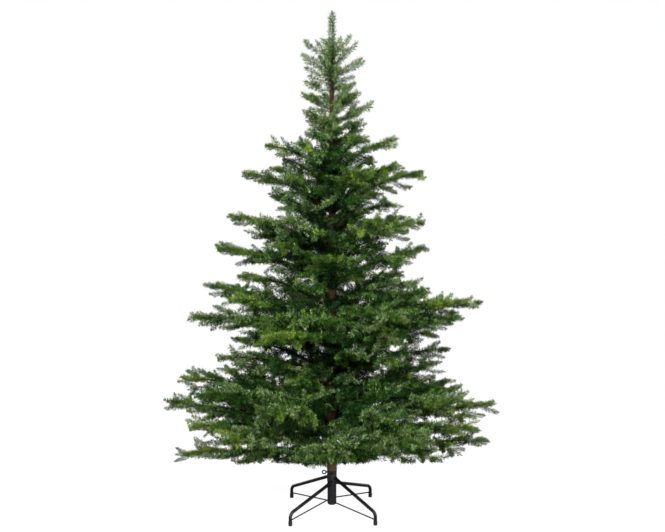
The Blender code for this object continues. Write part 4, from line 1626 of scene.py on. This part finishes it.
# ---------------------------------------------------------------- studio
@dataclass
class Studio:
    """Camera, pale floor and soft light."""

    camera_pitch: float = 5.958
    focal_pixels: float = 1006.57
    picture_width: int = 665
    sensor: float = 36.0
    floor_radius: float = 60.0
    floor_sides: int = 96
    surround: float = 0.23
    aim_height: float = 1.0

    def build(self) -> None:
        """Makes them."""
        self.build_camera()
        self.build_floor()
        self.build_lights()

    def build_camera(self) -> None:
        """The camera, level but for its pitch."""
        data = bpy.data.cameras.new("camera")
        data.sensor_width = self.sensor
        data.lens = self.focal_pixels * self.sensor / self.picture_width
        camera = linked("camera", data)
        camera.location = STANDPOINT
        camera.rotation_euler = (math.radians(90 - self.camera_pitch), 0, 0)
        bpy.context.scene.camera = camera

    def build_floor(self) -> None:
        """A pale floor that fades into the white round it."""
        angles = [math.tau * k / self.floor_sides for k in range(self.floor_sides)]
        rim = [(self.floor_radius * math.cos(a), self.floor_radius * math.sin(a), 0.0) for a in angles]
        mesh = bpy.data.meshes.new("floor")
        faces = [(0, 1 + k, 1 + (k + 1) % self.floor_sides) for k in range(self.floor_sides)]
        mesh.from_pydata([(0.0, 0.0, 0.0)] + rim, [], faces)
        floor = linked("floor", mesh)
        graph = Graph(bpy.data.materials.new("pale_floor"))
        graph.set(Base_Color=(0.14, 0.14, 0.14), Roughness=0.8, Specular_IOR_Level=0.1)
        graph.set(Emission_Color=(1.0, 1.0, 1.0), Emission_Strength=0.90)
        place = graph.node("ShaderNodeTexCoord", {}, {}, "Object")
        distance = graph.node("ShaderNodeVectorMath", {"operation": "LENGTH"}, {0: place}, "Value")
        glow = graph.node("ShaderNodeEmission", {}, {"Color": (1, 1, 1, 1), "Strength": 1.0})
        plain = Socket(graph, graph.shader.outputs[0])
        mixed = graph.node("ShaderNodeMixShader", {}, {0: graph.ramp(distance, 0.6, 2.6), 1: plain, 2: glow})
        output = graph.tree.nodes["Material Output"]
        graph.tree.links.new(mixed.output, output.inputs["Surface"])
        mesh.materials.append(graph.owner)
        floor.visible_diffuse = floor.visible_glossy = floor.visible_transmission = False

    def build_lights(self) -> None:
        """A white surround and five large soft lamps."""
        graph = Graph(bpy.data.worlds.new("studio"), "Background")
        seen = graph.node("ShaderNodeLightPath", {}, {}, "Is Camera Ray")
        graph.set(Color=(1.0, 1.0, 1.0), Strength=graph.ramp(seen, 0.0, 1.0, self.surround))
        scene = bpy.context.scene
        scene.world = graph.owner
        scene.view_settings.view_transform = "Standard"
        self.lamp("key", (-2.0, -4.4, 3.6), 1.5, 490)
        self.lamp("fill", (3.2, -3.6, 2.4), 1.8, 210)
        self.lamp("top", (0.3, 0.4, 4.6), 2.2, 130)
        self.lamp("back_left", (-3.2, 3.8, 2.6), 2.4, 110)
        self.lamp("back_right", (3.2, 3.8, 2.6), 2.4, 110)

    def lamp(self, name: str, place: tuple[float, float, float], size: float, power: float) -> None:
        """One square lamp that faces the middle of the tree.

        Args:
            name: its name.
            place: where it hangs.
            size: its side.
            power: in watts.
        """
        data = bpy.data.lights.new(name, "AREA")
        data.size, data.energy = size, power
        lamp = linked(name, data)
        lamp.location = place
        lamp.rotation_euler = (UP * self.aim_height - Vector(place)).to_track_quat("-Z", "Y").to_euler()


def main() -> None:
    """Builds every sub-assembly in order."""
    logging.basicConfig(level=logging.INFO, format="%(name)s: %(message)s")
    # The wrap's lighter foot colour is painted light.
    bark = BarkWrap(foot=(0.270, 0.220, 0.095)).build()
    # Painted shade: the limbs' film is a darker copy of the trunk's wrap, for the shade inside the tree.
    limb = BarkWrap("limb_film_painted_shade", (0.0030, 0.0036, 0.0014), (0.016, 0.015, 0.006), (0.016, 0.034, 0.007))
    # Painted light: the sleeve's and the collar's enamels are lighter copies of the legs' black enamel.
    sleeve = Enamel("sleeve_enamel_painted_light", (0.0215, 0.0208, 0.0258), (0.050, 0.048, 0.056)).build()
    collar = Enamel("collar_enamel_painted_light", (0.0480, 0.0472, 0.0500), (0.085, 0.084, 0.090)).build()
    Stand(Enamel().build(), sleeve, collar, Rubber().build(), BlackenedSteel().build()).build()
    Trunk(bark, [PlainFilm(f"bristle_{name}", colour).build() for name, colour in BRISTLES.items()]).build()
    stem = PlainFilm("twig_film", (0.013, 0.018, 0.005), 0.6).build()
    Foliage(limb.build(), stem, [tint.value.build() for tint in Tint]).build()
    Studio().build()


if __name__ == "__main__":
    main()
